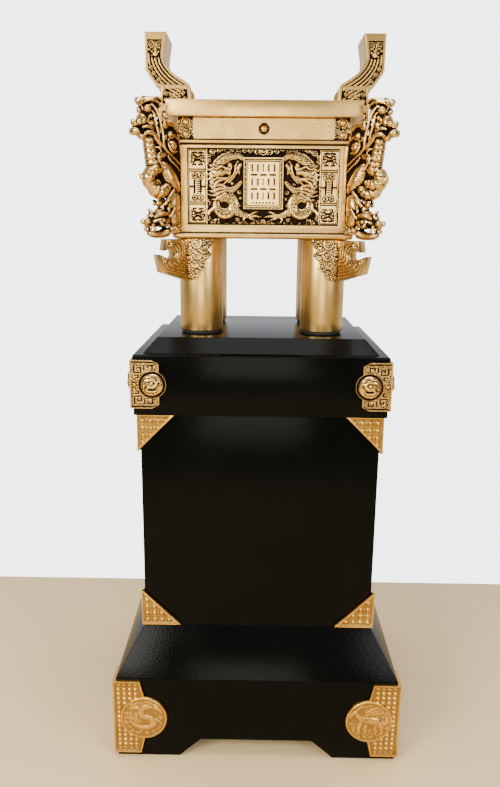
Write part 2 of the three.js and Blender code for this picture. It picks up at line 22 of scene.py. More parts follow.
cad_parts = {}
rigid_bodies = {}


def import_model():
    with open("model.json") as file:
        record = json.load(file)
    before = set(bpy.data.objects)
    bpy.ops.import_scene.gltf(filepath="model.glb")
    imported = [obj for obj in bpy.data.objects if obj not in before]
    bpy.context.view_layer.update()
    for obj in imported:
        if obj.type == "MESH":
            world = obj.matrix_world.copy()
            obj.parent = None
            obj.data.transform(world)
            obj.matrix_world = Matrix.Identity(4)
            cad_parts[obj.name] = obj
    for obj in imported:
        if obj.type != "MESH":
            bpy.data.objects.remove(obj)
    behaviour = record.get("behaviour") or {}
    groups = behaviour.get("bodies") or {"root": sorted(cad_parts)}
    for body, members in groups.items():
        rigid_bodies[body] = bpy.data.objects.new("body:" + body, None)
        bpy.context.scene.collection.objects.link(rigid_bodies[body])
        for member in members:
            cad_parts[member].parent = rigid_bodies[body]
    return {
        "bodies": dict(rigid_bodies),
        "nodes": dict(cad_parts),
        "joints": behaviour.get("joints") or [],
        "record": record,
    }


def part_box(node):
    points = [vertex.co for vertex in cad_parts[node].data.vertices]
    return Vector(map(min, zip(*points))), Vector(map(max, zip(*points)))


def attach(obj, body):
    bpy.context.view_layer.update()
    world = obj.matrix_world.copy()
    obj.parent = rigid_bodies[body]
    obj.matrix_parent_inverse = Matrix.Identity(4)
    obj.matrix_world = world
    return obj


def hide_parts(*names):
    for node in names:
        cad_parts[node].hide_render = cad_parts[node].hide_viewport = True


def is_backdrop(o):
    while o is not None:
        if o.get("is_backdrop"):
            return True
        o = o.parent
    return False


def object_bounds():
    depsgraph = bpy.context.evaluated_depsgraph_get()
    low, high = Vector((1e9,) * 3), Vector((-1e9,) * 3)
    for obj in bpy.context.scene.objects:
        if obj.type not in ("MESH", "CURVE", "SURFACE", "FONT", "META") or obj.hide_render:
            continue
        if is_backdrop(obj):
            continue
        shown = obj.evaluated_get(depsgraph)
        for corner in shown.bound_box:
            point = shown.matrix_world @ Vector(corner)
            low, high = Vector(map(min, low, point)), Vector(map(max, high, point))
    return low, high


MM = 0.001
CORNERS = ("front_right", "back_right", "back_left", "front_left")
SIDES = ("front", "right", "back", "left")
BODY = "root"
STEP = 0.8  # spacing of points along chased lines

log = logging.getLogger("ding")

Point = tuple[float, ...]
Points = Sequence[Point]
Numbers = Sequence[float]
Array = np.ndarray
Piece = bpy.types.Object
Tree = bpy.types.NodeTree
Node = bpy.types.Node
Socket = bpy.types.NodeSocket
Mapper = Callable[[Array, Array, Array], Array]


# ---- bench tools


def deselect() -> None:
    """Leaves edit mode and drops the whole selection."""
    if bpy.context.object and bpy.context.object.mode != "OBJECT":
        bpy.ops.object.mode_set(mode="OBJECT")
    bpy.ops.object.select_all(action="DESELECT")


def pick(*pieces: Piece) -> None:
    """Selects these pieces alone, the first of them active."""
    deselect()
    for piece in pieces:
        piece.select_set(True)
    bpy.context.view_layer.objects.active = pieces[0]


def named(name: str) -> Piece:
    """Names the piece that was just added.

    Args:
        name: The name for the object and its mesh.

    Returns:
        The piece.
    """
    piece = bpy.context.object
    piece.name = name
    piece.data.name = name
    return piece


def modify(piece: Piece, kind: str, **settings: object) -> None:
    """Adds one modifier and applies it.

    Args:
        piece: The piece to change.
        kind: The modifier's type.
        settings: Values set on the modifier first.
    """
    pick(piece)
    modifier = piece.modifiers.new(kind.title(), kind)
    for name, value in settings.items():
        setattr(modifier, name, value)
    bpy.ops.object.modifier_apply(modifier=modifier.name)


def join(name: str, *pieces: Piece) -> Piece:
    """Makes one object of several.

    Args:
        name: The name for the result.
        pieces: The pieces to join.

    Returns:
        The joined piece.
    """
    pick(*pieces)
    bpy.ops.object.join()
    return named(name)


@contextmanager
def open_mesh(piece: Piece) -> Iterator[None]:
    """Opens a piece's mesh for editing, all of it selected, and closes it afterwards."""
    pick(piece)
    bpy.ops.object.mode_set(mode="EDIT")
    bpy.ops.mesh.select_all(action="SELECT")
    yield
    bpy.ops.object.mode_set(mode="OBJECT")


def point_outwards(piece: Piece) -> None:
    """Merges a closed piece's doubles and turns its faces outwards."""
    with open_mesh(piece):
        bpy.ops.mesh.remove_doubles(threshold=0.01 * MM)
        bpy.ops.mesh.normals_make_consistent(inside=False)


def ease_edges(piece: Piece, width: float, segments: int = 2, angle: float = 30) -> None:
    """Rounds a piece's sharp edges and shades it smooth between them.

    Args:
        piece: The piece.
        width: How far each edge is cut back.
        segments: Faces across each rounded edge.
        angle: Edges sharper than this are rounded, in degrees.
    """
    modify(
        piece, "BEVEL", width=width * MM, segments=segments, limit_method="ANGLE",
        angle_limit=math.radians(angle), harden_normals=False
    )
    shade_by_angle(piece, angle)


def triangles(piece: Piece) -> int:
    """How many triangles a piece's faces come to."""
    return sum(len(face.vertices) - 2 for face in piece.data.polygons)


def shade_by_angle(piece: Piece, angle: float) -> None:
    """Shades a piece smooth where its faces meet at less than an angle in degrees."""
    pick(piece)
    bpy.ops.object.shade_smooth_by_angle(angle=math.radians(angle))


def turned_copy(piece: Piece, name: str, placing: Matrix) -> Piece:
    """Copies a piece with its own mesh, moved by a matrix.

    Args:
        piece: The finished piece.
        name: The copy's name.
        placing: Where the copy goes, in metres.

    Returns:
        The copy.
    """
    copy = piece.copy()
    copy.data = piece.data.copy()
    copy.name = copy.data.name = name
    bpy.context.collection.objects.link(copy)
    copy.data.transform(placing)
    return copy


def corner_places(half: Point, lean: float = 0.0) -> dict[str, Matrix]:
    """Placings at the four corners.

    Args:
        half: How far the corners are from the middle, across and in depth.
        lean: A turn in degrees that comes before the corner's own.

    Returns:
        A matrix for each corner's name.
    """
    placings = []
    for turn, (x, y) in enumerate(((1, -1), (1, 1), (-1, 1), (-1, -1))):
        at = Matrix.Translation((x * half[0] * MM, y * half[1] * MM, 0))
        placings.append(at @ Matrix.Rotation(math.radians(90 * turn + lean), 4, "Z"))
    return dict(zip(CORNERS, placings))


def quarter_turn(turn: int) -> Matrix:
    """A turn of so many quarters about the middle."""
    return Matrix.Rotation(math.radians(90 * turn), 4, "Z")


def rounded(points: Points, step: float) -> Array:
    """A smooth curve through points, as points about a step apart.

    Args:
        points: The points, of two or three numbers each.
        step: The spacing asked for.

    Returns:
        The curve, one row for each point.
    """
    knots = np.array(points, float)
    if len(knots) == 1:
        return knots
    padded = np.vstack([2 * knots[0] - knots[1], knots, 2 * knots[-1] - knots[-2]])
    rows = []
    for i in range(len(knots) - 1):
        a, b, c, d = padded[i : i + 4]
        count = max(2, math.ceil(np.linalg.norm(c - b) / step))
        t = np.arange(count)[:, None] / count
        rows.append(
            0.5 * (
                2 * b + (c - a) * t + (2 * a - 5 * b + 4 * c - d) * t**2 + (3 * b - a - 3 * c + d) * t**3
            )
        )
    rows.append(knots[-1:])
    return np.vstack(rows)


def spread(values: Numbers, count: int) -> Array:
    """Values spread smoothly over a count of points, the first and last kept."""
    places = np.linspace(0, len(values) - 1, count)
    return np.interp(places, np.arange(len(values)), values)


def spiral(centre: Point, radius: float, turns: float, start: float, hand: int = 1) -> list[Point]:
    """Points of a curl that winds in to its centre.

    Args:
        centre: Across and up.
        radius: Where it starts.
        turns: How many times it goes round.
        start: The angle it starts at, in degrees.
        hand: 1 to wind anticlockwise, -1 clockwise.

    Returns:
        The points from the outside in.
    """
    count = max(4, round(turns * 8))
    points = []
    for i in range(count + 1):
        part = i / count
        angle = math.radians(start + hand * 360 * turns * part)
        reach = radius * (1 - 0.8 * part)
        points.append((centre[0] + reach * math.cos(angle), centre[1] + reach * math.sin(angle)))
    return points


class Hide(Enum):
    """How a beast's limb is worked."""

    SMOOTH = "smooth"
    SCALES = "scales"
    RIBS = "ribs"
    LOCKS = "locks"


def hide_height(hide: Hide, along: Array, around: Array, girth: float) -> Array:
    """The chasing on a limb.

    Args:
        hide: The kind of chasing.
        along: Distance along the limb.
        around: Angle round it, in radians.
        girth: The limb's usual radius.

    Returns:
        How far each point stands proud.
    """
    pitch = 6.5
    if hide is Hide.SCALES:
        columns = max(4, round(2 * math.pi * girth / pitch))
        a = math.pi * along / pitch
        b = around * columns / 2
        return 1.5 * np.sqrt(np.abs(np.sin(a + b) * np.sin(a - b))) - 0.9
    if hide is Hide.RIBS:
        return 2.4 * np.sqrt(np.abs(np.sin(math.pi * along / 12))) - 1.5
    if hide is Hide.LOCKS:
        return 1.8 * np.sqrt(np.abs(np.sin(around * 3))) - 1.1
    return np.zeros_like(along)


def mark_patina_and_shade(piece: Piece, floor: Array | None = None) -> None:
    """Stores how sunk each point is as the attribute "hollow", for the patina and for painted shade in the
    deeper, wider hollows.

    Args:
        piece: The piece, its mesh final.
        floor: Extra sinking from 0 to 1 for the first points of the mesh.
    """
    mesh = piece.data
    count = len(mesh.vertices)
    place = np.empty(count * 3)
    mesh.vertices.foreach_get("co", place)
    place = place.reshape(-1, 3) / MM
    normal = np.empty(count * 3)
    mesh.vertices.foreach_get("normal", normal)
    normal = normal.reshape(-1, 3)
    soft = place.copy()
    hollow = np.zeros(count)
    done = 0
    # The widest round reaches some 10 mm, so deep hollows get painted shade as well as patina.
    for rounds, depth in ((3, 0.22), (14, 0.6), (60, 1.7)):
        soft = np.stack([link_means(mesh, soft[:, axis], rounds - done) for axis in range(3)], axis=1)
        done = rounds
        sunk = np.einsum("ij,ij->i", soft - place, normal)
        hollow = np.maximum(hollow, np.clip(sunk / depth, 0, 1))
    if floor is not None:
        hollow[: len(floor)] = np.maximum(hollow[: len(floor)], floor)
    attribute = mesh.attributes.new("hollow", "FLOAT", "POINT")
    attribute.data.foreach_set("value", hollow)


def fade_patina_and_shade(piece: Piece, share: float) -> None:
    """Leaves only a share of the patina and painted shade stored in a piece's hollows."""
    stored = piece.data.attributes["hollow"].data
    sunk = np.empty(len(stored), np.float32)
    stored.foreach_get("value", sunk)
    stored.foreach_set("value", sunk * share)


def link_means(mesh: bpy.types.Mesh, values: Array, rounds: int) -> Array:
    """Values of a mesh's points after each has taken its neighbours' mean so many times."""
    count = len(mesh.vertices)
    edge = np.empty(len(mesh.edges) * 2, int)
    mesh.edges.foreach_get("vertices", edge)
    ends = np.concatenate([edge, edge.reshape(-1, 2)[:, ::-1].ravel()]).reshape(-1, 2)
    links = np.maximum(np.bincount(ends[:, 0], minlength=count), 1)
    for _ in range(rounds):
        values = np.bincount(ends[:, 0], values[ends[:, 1]], minlength=count) / links
    return values


def paint_occlusion_shade(piece: Piece, reach: float = 26.0, rays: int = 14) -> None:
    """Adds painted shade to the attribute "hollow": the more each point is shut in by the metal round it,
    the darker it is painted.

    Args:
        piece: The piece, with its hollows marked already.
        reach: How far away metal still shuts a point in.
        rays: Directions tried from each point.
    """
    mesh = piece.data
    work = bmesh.new()
    work.from_mesh(mesh)
    tree = BVHTree.FromBMesh(work)
    work.free()
    turn = np.arange(rays) * math.pi * (3 - math.sqrt(5))
    flat = np.sqrt((np.arange(rays) + 0.5) / rays)
    fan = np.stack([flat * np.cos(turn), flat * np.sin(turn), np.sqrt(1 - flat**2)], axis=1)
    shut = np.zeros(len(mesh.vertices))
    for vertex in mesh.vertices:
        frame = vertex.normal.to_track_quat("Z", "Y").to_matrix()
        start = vertex.co + vertex.normal * 0.4 * MM
        ways = fan @ np.array(frame).T
        shut[vertex.index] = sum(
            tree.ray_cast(start, way, reach * MM)[0] is not None for way in ways.tolist()
        )
    shut = link_means(mesh, shut / rays, 2)
    values = np.empty(len(shut))
    attribute = mesh.attributes["hollow"]
    attribute.data.foreach_get("value", values)
    attribute.data.foreach_set("value", np.maximum(values, np.clip((shut - 0.34) / 0.42, 0, 1)))


# ---- limbs in the round


@dataclass
class Limb:
    """A tapering bar along a smooth route, closed at both ends.

    Attributes:
        route: Points of three numbers.
        girth: Radii, spread evenly from end to end.
        hide: How its surface is worked.
        wide: How much wider it is across Y than in its own plane.
        blunt: True for a round end, False for a drawn-out one.
    """

    route: Points
    girth: Numbers
    hide: Hide = Hide.SMOOTH
    wide: float = 1.0
    blunt: bool = True

    def make(self) -> Piece:
        """Rolls a grid into the limb.

        Returns:
            The limb.
        """
        line = rounded(self.route, 1.3)
        radius = spread(self.girth, len(line))
        usual = float(np.mean(radius))
        sides = int(np.clip(2 * math.pi * usual / 1.3, 10, 64))
        step = np.linalg.norm(np.diff(line, axis=0), axis=1)
        along = np.concatenate([[0], np.cumsum(step)])
        tangent = np.gradient(line, axis=0)
        tangent /= np.linalg.norm(tangent, axis=1)[:, None]
        normal = np.empty_like(line)
        last = np.cross(tangent[0], (0, 1, 0.01))
        for i, way in enumerate(tangent):
            last = last - way * float(last @ way)
            last /= np.linalg.norm(last)
            normal[i] = last
        across = np.cross(tangent, normal)
        around = np.linspace(0, 2 * math.pi, sides + 1)
        proud = hide_height(self.hide, along[:, None], around[None, :], usual)
        reach = radius[:, None] + proud * min(1.0, usual / 9)
        end = radius if self.blunt else np.maximum(radius, 1)
        near = np.minimum(along / np.maximum(end[0], 0.5), (along[-1] - along) / max(end[-1], 0.5))
        cap = np.sqrt(np.clip(1 - (1 - np.clip(near, 0, 1)) ** 2, 0, 1))
        reach = reach * cap[:, None]
        stretch = 1 + (self.wide - 1) * np.abs(across[:, 1:2])
        skin = (
            line[:, None, :]
            + (reach * np.cos(around))[:, :, None] * normal[:, None, :]
            + (reach * np.sin(around) * stretch)[:, :, None] * across[:, None, :]
        )
        deselect()
        bpy.ops.mesh.primitive_grid_add(x_subdivisions=sides, y_subdivisions=len(line) - 1, size=1)
        limb = named("limb")
        limb.data.vertices.foreach_set("co", (skin * MM).ravel())
        return limb


def ball(centre: Point, radius: float, wide: float = 1.0) -> Piece:
    """A round bead.

    Args:
        centre: Its middle, of three numbers.
        radius: Its radius.
        wide: Its stretch across Y.

    Returns:
        The bead.
    """
    deselect()
    bpy.ops.mesh.primitive_uv_sphere_add(
        segments=20, ring_count=12, radius=radius * MM, location=Vector(centre) * MM
    )
    bpy.ops.object.transform_apply()
    bead = named("bead")
    middle = centre[1] * MM
    for vertex in bead.data.vertices:
        vertex.co.y = middle + (vertex.co.y - middle) * wide
    return bead


def cast_as_one(name: str, parts: Sequence[Piece], grain: float, most: int, whole: bool = True) -> Piece:
    """Melts overlapping closed parts into one skin.

    Args:
        name: The name for the result.
        parts: The overlapping parts.
        grain: The size of the skin's faces.
        most: The most triangles it may keep.
        whole: True to drop all but the largest body.

    Returns:
        The casting, with its hollows marked.
    """
    casting = join(name, *parts)
    point_outwards(casting)
    modify(casting, "REMESH", mode="VOXEL", voxel_size=grain * MM)
    if triangles(casting) > most:
        modify(casting, "DECIMATE", ratio=most / triangles(casting))
    if whole:
        drop_crumbs(casting)
    shade_by_angle(casting, 180)
    # Patina and painted shade in the casting's hollows.
    mark_patina_and_shade(casting)
    return casting


def drop_crumbs(piece: Piece) -> None:
    """Keeps only the largest connected body of a mesh."""
    work = bmesh.new()
    work.from_mesh(piece.data)
    left = set(work.verts)
    bodies = []
    while left:
        edge = [left.pop()]
        body = set(edge)
        while edge:
            vertex = edge.pop()
            for link in vertex.link_edges:
                other = link.other_vert(vertex)
                if other in left:
                    left.discard(other)
                    body.add(other)
                    edge.append(other)
        bodies.append(body)
    bodies.sort(key=len)
    for body in bodies[:-1]:
        bmesh.ops.delete(work, geom=list(body), context="VERTS")
    work.to_mesh(piece.data)
    work.free()


# ---- chased reliefs


class Relief:
    """A chased surface: a grid over a field, with the height of the metal at each point.

    u runs across the field and v up it. Rows of the grid are rows of the arrays.
    """

    def __init__(self, u: Array, v: Array, disc: bool = False) -> None:
        """Lays out the grid.

        Args:
            u: Place of each point across the field.
            v: Place of each point up the field.
            disc: True where rows are rings round a middle, False where they lie flat.
        """
        self.u = u
        self.v = v
        self.disc = disc
        self.h = np.zeros_like(u)
        self.floor = np.zeros_like(u)

    @classmethod
    def ruled(cls, rows: Points, pitch: float, smooth: bool = False) -> "Relief":
        """A field between a left and a right edge.

        Args:
            rows: (height, left, right) from the lowest up.
            pitch: Spacing of the grid.
            smooth: True where the edges are curves through the rows.

        Returns:
            The relief, flat.
        """
        table = rounded(rows, pitch) if smooth else np.array(rows, float)
        low, high = table[0, 0], table[-1, 0]
        levels = np.linspace(low, high, max(2, round((high - low) / pitch) + 1))
        left = np.interp(levels, table[:, 0], table[:, 1])
        right = np.interp(levels, table[:, 0], table[:, 2])
        columns = max(3, round(float(np.max(right - left)) / pitch) + 1)
        part = np.linspace(0, 1, columns)[None, :]
        u = left[:, None] * (1 - part) + right[:, None] * part
        return cls(u, np.repeat(levels[:, None], columns, axis=1))

    @classmethod
    def round_field(cls, centre: Point, radius: float, pitch: float) -> "Relief":
        """A disc.

        Args:
            centre: Its middle.
            radius: Its radius.
            pitch: Spacing of the grid.

        Returns:
            The relief, flat.
        """
        rings = round(radius / pitch)
        spokes = round(2 * math.pi * radius / pitch / 1.4)
        reach = np.linspace(radius, 0.4 * pitch, rings)[:, None]
        angle = -np.arange(spokes)[None, :] * 2 * math.pi / spokes
        return cls(centre[0] + reach * np.cos(angle), centre[1] + reach * np.sin(angle), True)

    def near(self, points: Array, reach: float) -> tuple[Array, Array, Array, Array]:
        """The part of the grid near a line.

        Args:
            points: The line's points.
            reach: How far from it to look.

        Returns:
            A mask of the grid, and for its points the distance to the line, the index of the
            nearest point of the line and the side it is on.
        """
        low, high = points.min(axis=0) - reach, points.max(axis=0) + reach
        mask = (self.u > low[0]) & (self.u < high[0]) & (self.v > low[1]) & (self.v < high[1])
        spot = np.stack([self.u[mask], self.v[mask]], axis=1)
        if not len(spot):
            return mask, np.zeros(0), np.zeros(0, int), np.zeros(0)
        gap = spot[:, None, :] - points[None, :, :]
        square = np.einsum("ijk,ijk->ij", gap, gap)
        nearest = square.argmin(axis=1)
        tangent = np.gradient(points, axis=0) if len(points) > 1 else np.ones((1, 2))
        chosen = gap[np.arange(len(spot)), nearest]
        way = tangent[nearest]
        side = np.sign(way[:, 0] * chosen[:, 1] - way[:, 1] * chosen[:, 0])
        return mask, np.sqrt(square[np.arange(len(spot)), nearest]), nearest, side

    def bar(
        self, points: Points, girth: Numbers, rise: float = 1.0, base: float = 0.0, hide: Hide = Hide.SMOOTH
    ) -> None:
        """Lays a half-round bar on the field.

        Args:
            points: Its route.
            girth: Half its width, spread evenly from end to end.
            rise: Its height as a share of its half width.
            base: The level that it lies on.
            hide: How its surface is worked.
        """
        line = rounded(points, STEP)
        radius = spread(girth, len(line))
        mask, far, nearest, side = self.near(line, float(radius.max()))
        width = radius[nearest]
        inside = far < width
        part = np.clip(far / np.maximum(width, 1e-6), 0, 1)
        crest = np.sqrt(1 - part**2)
        usual = float(np.mean(radius))
        along = nearest * STEP
        proud = hide_height(hide, along, np.arcsin(part) * side, usual) * min(1, usual / 8)
        height = base + rise * width * crest + proud * crest
        level = self.h[mask]
        self.h[mask] = np.where(inside, np.maximum(level, height), level)

    def curl(
        self, centre: Point, radius: float, girth: float, start: float = 0, hand: int = 1, **more: float
    ) -> None:
        """A bar wound into a curl with a bead at its heart.

        Args:
            centre: Its middle.
            radius: Its reach.
            girth: Half the bar's width where it starts.
            start: The angle it starts at, in degrees.
            hand: 1 for anticlockwise, -1 for clockwise.
            more: Passed to bar.
        """
        self.bar(spiral(centre, radius, 1.3, start, hand), (girth, girth, girth * 0.6), **more)
        self.dome(centre, girth * 1.3, girth * 1.5, more.get("base", 0.0))

    def dome(self, centre: Point, radius: float, height: float, base: float = 0.0) -> None:
        """Raises a round boss."""
        far = np.hypot(self.u - centre[0], self.v - centre[1]) / radius
        crest = base + height * np.sqrt(np.clip(1 - far**2, 0, 1))
        self.h = np.where(far < 1, np.maximum(self.h, crest), self.h)

    def ring(self, centre: Point, radius: float, width: float, height: float) -> None:
        """Raises a ring by a height, or sinks it where the height is negative."""
        far = np.abs(np.hypot(self.u - centre[0], self.v - centre[1]) - radius) / width
        self.h += height * np.sqrt(np.clip(1 - far**2, 0, 1))

    def slab(self, low: Point, high: Point, height: float) -> None:
        """Sets a rectangle to a level."""
        inside = (self.u >= low[0]) & (self.u <= high[0]) & (self.v >= low[1]) & (self.v <= high[1])
        self.h = np.where(inside, height, self.h)

    def groove(self, points: Points, width: float, depth: float) -> None:
        """Cuts a round-bottomed groove along straight runs between points."""
        knots = np.array(points, float)
        runs = [
            np.linspace(a, b, max(2, math.ceil(np.linalg.norm(b - a) / STEP)))
            for a, b in zip(knots[:-1], knots[1:])
        ]
        mask, far, _, _ = self.near(np.vstack(runs), width)
        cut = depth * np.sqrt(np.clip(1 - (far / width) ** 2, 0, 1))
        self.h[mask] -= cut
        self.floor[mask] = np.where(far < width, 0.85, self.floor[mask])

    def swirl(
        self, centre: Point, radius: float, height: float, base: float, start: float, hand: int,
        turns: float = 1.3
    ) -> None:
        """Lays a boss over whatever is there, outlined and with a groove that curls into it.

        Args:
            centre: Its middle.
            radius: Its reach.
            height: Its rise in the middle.
            base: The level of its edge.
            start: The angle where the groove starts, in degrees.
            hand: 1 for anticlockwise, -1 for clockwise.
            turns: How often the groove goes round.
        """
        far = np.hypot(self.u - centre[0], self.v - centre[1]) / radius
        crest = base + height * np.sqrt(np.clip(1 - 0.9 * far**2, 0, 1))
        self.h = np.where(far < 1, crest, self.h)
        self.floor = np.where(far < 1, 0, self.floor)
        around = [
            (centre[0] + radius * math.cos(a), centre[1] + radius * math.sin(a))
            for a in np.linspace(0, 2 * math.pi, 25)
        ]
        self.groove(around, 1.0, 1.1)
        turn = rounded(spiral(centre, radius * 0.74, turns, start, hand), 1.0)
        self.groove([tuple(point) for point in turn], min(0.13 * radius, 1.3), 0.9)

    def frame_line(self, low: Point, high: Point, width: float, depth: float) -> None:
        """Cuts a groove round a rectangle."""
        (a, b), (c, d) = low, high
        self.groove([(a, b), (c, b), (c, d), (a, d), (a, b)], width, depth)

    def grain(self, height: float, seed: int, where: Array | None = None) -> None:
        """Roughens the metal with fine seeded stippling."""
        rough = np.random.default_rng(seed).uniform(-height, height, self.h.shape)
        self.h += rough if where is None else np.where(where, rough, 0)

    def sink_below(self, level: float, depth: float, most: float = 1.0) -> None:
        """Marks all that lies under a level as sunk.

        Args:
            level: Where the sinking starts.
            depth: How far below that it is full.
            most: How dark the deepest is, from 0 to 1.
        """
        self.floor = np.maximum(self.floor, np.clip((level - self.h) / depth, 0, 1) * most)

    def ease_rim(self, edge: Array, radius: float) -> None:
        """Rounds the field over where it comes near its own edge."""
        part = 1 - np.clip(edge / radius, 0, 1)
        self.h -= radius * (1 - np.sqrt(1 - part**2))

    def raise_piece(self, name: str, mapper: Mapper, back: float, across: bool = False) -> Piece:
        """Beats the field out as a closed piece.

        Args:
            name: The piece's name.
            mapper: Gives the place in space of points (across, up, height).
            back: Level of its flat back.
            across: True to close the back with level strips, False with upright ones.

        Returns:
            The piece, with its hollows marked.
        """
        rows, columns = self.u.shape
        deselect()
        bpy.ops.mesh.primitive_grid_add(x_subdivisions=columns - 1, y_subdivisions=rows - 1, size=1)
        piece = named(name)
        skin = mapper(self.u, self.v, self.h)
        piece.data.vertices.foreach_set("co", (skin * MM).ravel())
        flat = mapper(self.u, self.v, np.full_like(self.h, back)) * MM
        work = bmesh.new()
        work.from_mesh(piece.data)
        work.verts.ensure_lookup_table()
        if self.disc:
            self._close_disc(work, flat)
        else:
            self._close_sheet(work, flat, across)
        bmesh.ops.recalc_face_normals(work, faces=work.faces)
        work.to_mesh(piece.data)
        work.free()
        piece.data.update()
        shade_by_angle(piece, 60)
        # Patina and painted shade in the hollows, with the field's own sunk marks.
        mark_patina_and_shade(piece, self.floor.ravel())
        return piece

    def _close_sheet(self, work: bmesh.types.BMesh, flat: Array, across: bool) -> None:
        """Gives a ruled field its sides and its back."""
        rows, columns = self.u.shape
        front = {(r, c): work.verts[r * columns + c] for r in range(rows) for c in range(columns)}
        rim = [(0, c) for c in range(columns)]
        rim += [(r, columns - 1) for r in range(1, rows)]
        rim += [(rows - 1, c) for c in range(columns - 2, -1, -1)]
        rim += [(r, 0) for r in range(rows - 2, 0, -1)]
        behind = {at: work.verts.new(flat[at]) for at in rim}
        for at, after in zip(rim, rim[1:] + rim[:1]):
            work.faces.new((front[after], front[at], behind[at], behind[after]))
        top, last = rows - 1, columns - 1
        if across:
            for r in range(1, top - 1):
                work.faces.new((behind[r, last], behind[r, 0], behind[r + 1, 0], behind[r + 1, last]))
            foot = [behind[0, c] for c in range(columns)]
            head = [behind[top, c] for c in range(columns)]
            work.faces.new(foot[::-1] + [behind[1, 0], behind[1, last]])
            work.faces.new(head + [behind[top - 1, last], behind[top - 1, 0]])
            return
        for c in range(1, last - 1):
            work.faces.new((behind[0, c], behind[top, c], behind[top, c + 1], behind[0, c + 1]))
        left = [behind[r, 0] for r in range(rows)]
        right = [behind[r, last] for r in range(rows)]
        work.faces.new([behind[0, 1]] + left + [behind[top, 1]])
        work.faces.new([behind[top, last - 1]] + right[::-1] + [behind[0, last - 1]])

    def _close_disc(self, work: bmesh.types.BMesh, flat: Array) -> None:
        """Closes the seam and the middle of a disc, and gives it its side and its back."""
        rows, columns = self.u.shape
        rows_of = [[work.verts[r * columns + c] for c in range(columns)] for r in range(rows)]
        for low, high in zip(rows_of, rows_of[1:]):
            work.faces.new((low[-1], low[0], high[0], high[-1]))
        work.faces.new(rows_of[-1])
        behind = [work.verts.new(flat[0, c]) for c in range(columns)]
        for c in range(columns):
            after = (c + 1) % columns
            work.faces.new((rows_of[0][after], rows_of[0][c], behind[c], behind[after]))
        work.faces.new(behind[::-1])


def facing(turn: int, wall: float) -> Mapper:
    """Maps a field onto a wall.

    Args:
        turn: Quarters turned from the front.
        wall: How far the field's zero level is from the middle.

    Returns:
        The mapper: u across, v the height above the floor.
    """
    spin = np.array(quarter_turn(turn).to_3x3())

    def place(u: Array, v: Array, h: Array) -> Array:
        """Puts points of the field in space."""
        return np.stack([u, -wall - h, v], axis=-1) @ spin.T

    return place


def across_y(way: int, wall: float) -> Mapper:
    """Maps a field, u across and v up, onto a face at so much to the front (way -1) or the back."""

    def place(u: Array, v: Array, h: Array) -> Array:
        """Puts points of the field in space."""
        return np.stack([u, way * (wall + h), v], axis=-1)

    return place


def folded(lift: float) -> Mapper:
    """Maps a field round the front right corner, whose edge stands at the origin.

    Args:
        lift: Level of the field's zero above the two faces.

    Returns:
        The mapper: u negative on the front face and positive on the right one.
    """

    def place(u: Array, v: Array, h: Array) -> Array:
        """Puts points of the field in space."""
        out = lift + h
        before, after = u <= 0, u >= 0
        x = np.where(before, np.where(after, out, np.minimum(lift + u, out)), out)
        y = np.where(after, np.where(before, -out, np.maximum(u - lift, -out)), -out)
        return np.stack([x, y, v], axis=-1)

    return place


# ---- finishes


class Recipe:
    """A material's node tree, built step by step."""

    def __init__(self, name: str) -> None:
        """Starts an empty material with its shader and output."""
        self.material = bpy.data.materials.new(name)
        self.material.use_nodes = True
        self.tree = self.material.node_tree
        self.tree.nodes.clear()
        self.shader = self.add("ShaderNodeBsdfPrincipled")
        output = self.add("ShaderNodeOutputMaterial")
        self.join(self.shader.outputs["BSDF"], output.inputs["Surface"])
        self.place = self.add("ShaderNodeTexCoord").outputs["Object"]

    def add(self, kind: str, **settings: object) -> Node:
        """Adds a node with these settings."""
        return add_node(self.tree, kind, **settings)

    def join(self, start: Socket, end: Socket) -> None:
        """Links an output to an input."""
        self.tree.links.new(start, end)

    def feed(self, name: str, value: Socket) -> None:
        """Drives one of the shader's own inputs."""
        self.join(value, self.shader.inputs[name])

    def effect(self, group: Tree, **values: float) -> Node:
        """Places a shared effect with its own values and this material's coordinates."""
        node = self.add("ShaderNodeGroup")
        node.node_tree = group
        preset(node, **values)
        self.join(self.place, node.inputs["Place"])
        return node

    def blend(self, mask: Socket, low: Numbers | Socket, high: Numbers | Socket) -> Socket:
        """Mixes two colours by a mask."""
        mix = self.add("ShaderNodeMix", data_type="RGBA")
        self.join(mask, mix.inputs[0])
        for value, socket in ((low, mix.inputs[6]), (high, mix.inputs[7])):
            if isinstance(value, Socket):
                self.join(value, socket)
            else:
                socket.default_value = (*value, 1)
        return mix.outputs[2]

    def ramp(self, value: Socket, low: float, high: float) -> Socket:
        """Maps a mask from 0 and 1 to two other numbers."""
        node = preset(self.add("ShaderNodeMapRange"), To_Min=low, To_Max=high)
        self.join(value, node.inputs["Value"])
        return node.outputs["Result"]

    def bump(self, height: Socket, strength: float, distance: float) -> None:
        """Drives the shader's normal from a height."""
        node = preset(self.add("ShaderNodeBump"), Strength=strength, Distance=distance * MM)
        self.join(height, node.inputs["Height"])
        self.feed("Normal", node.outputs["Normal"])


def add_node(tree: Tree, kind: str, **settings: object) -> Node:
    """Adds a node to a tree with these settings."""
    node = tree.nodes.new(kind)
    for name, value in settings.items():
        setattr(node, name, value)
    return node


def preset(node: Node, **values: float) -> Node:
    """Sets a node's number inputs, named with underscores for spaces."""
    for name, value in values.items():
        node.inputs[name.replace("_", " ")].default_value = value
    return node


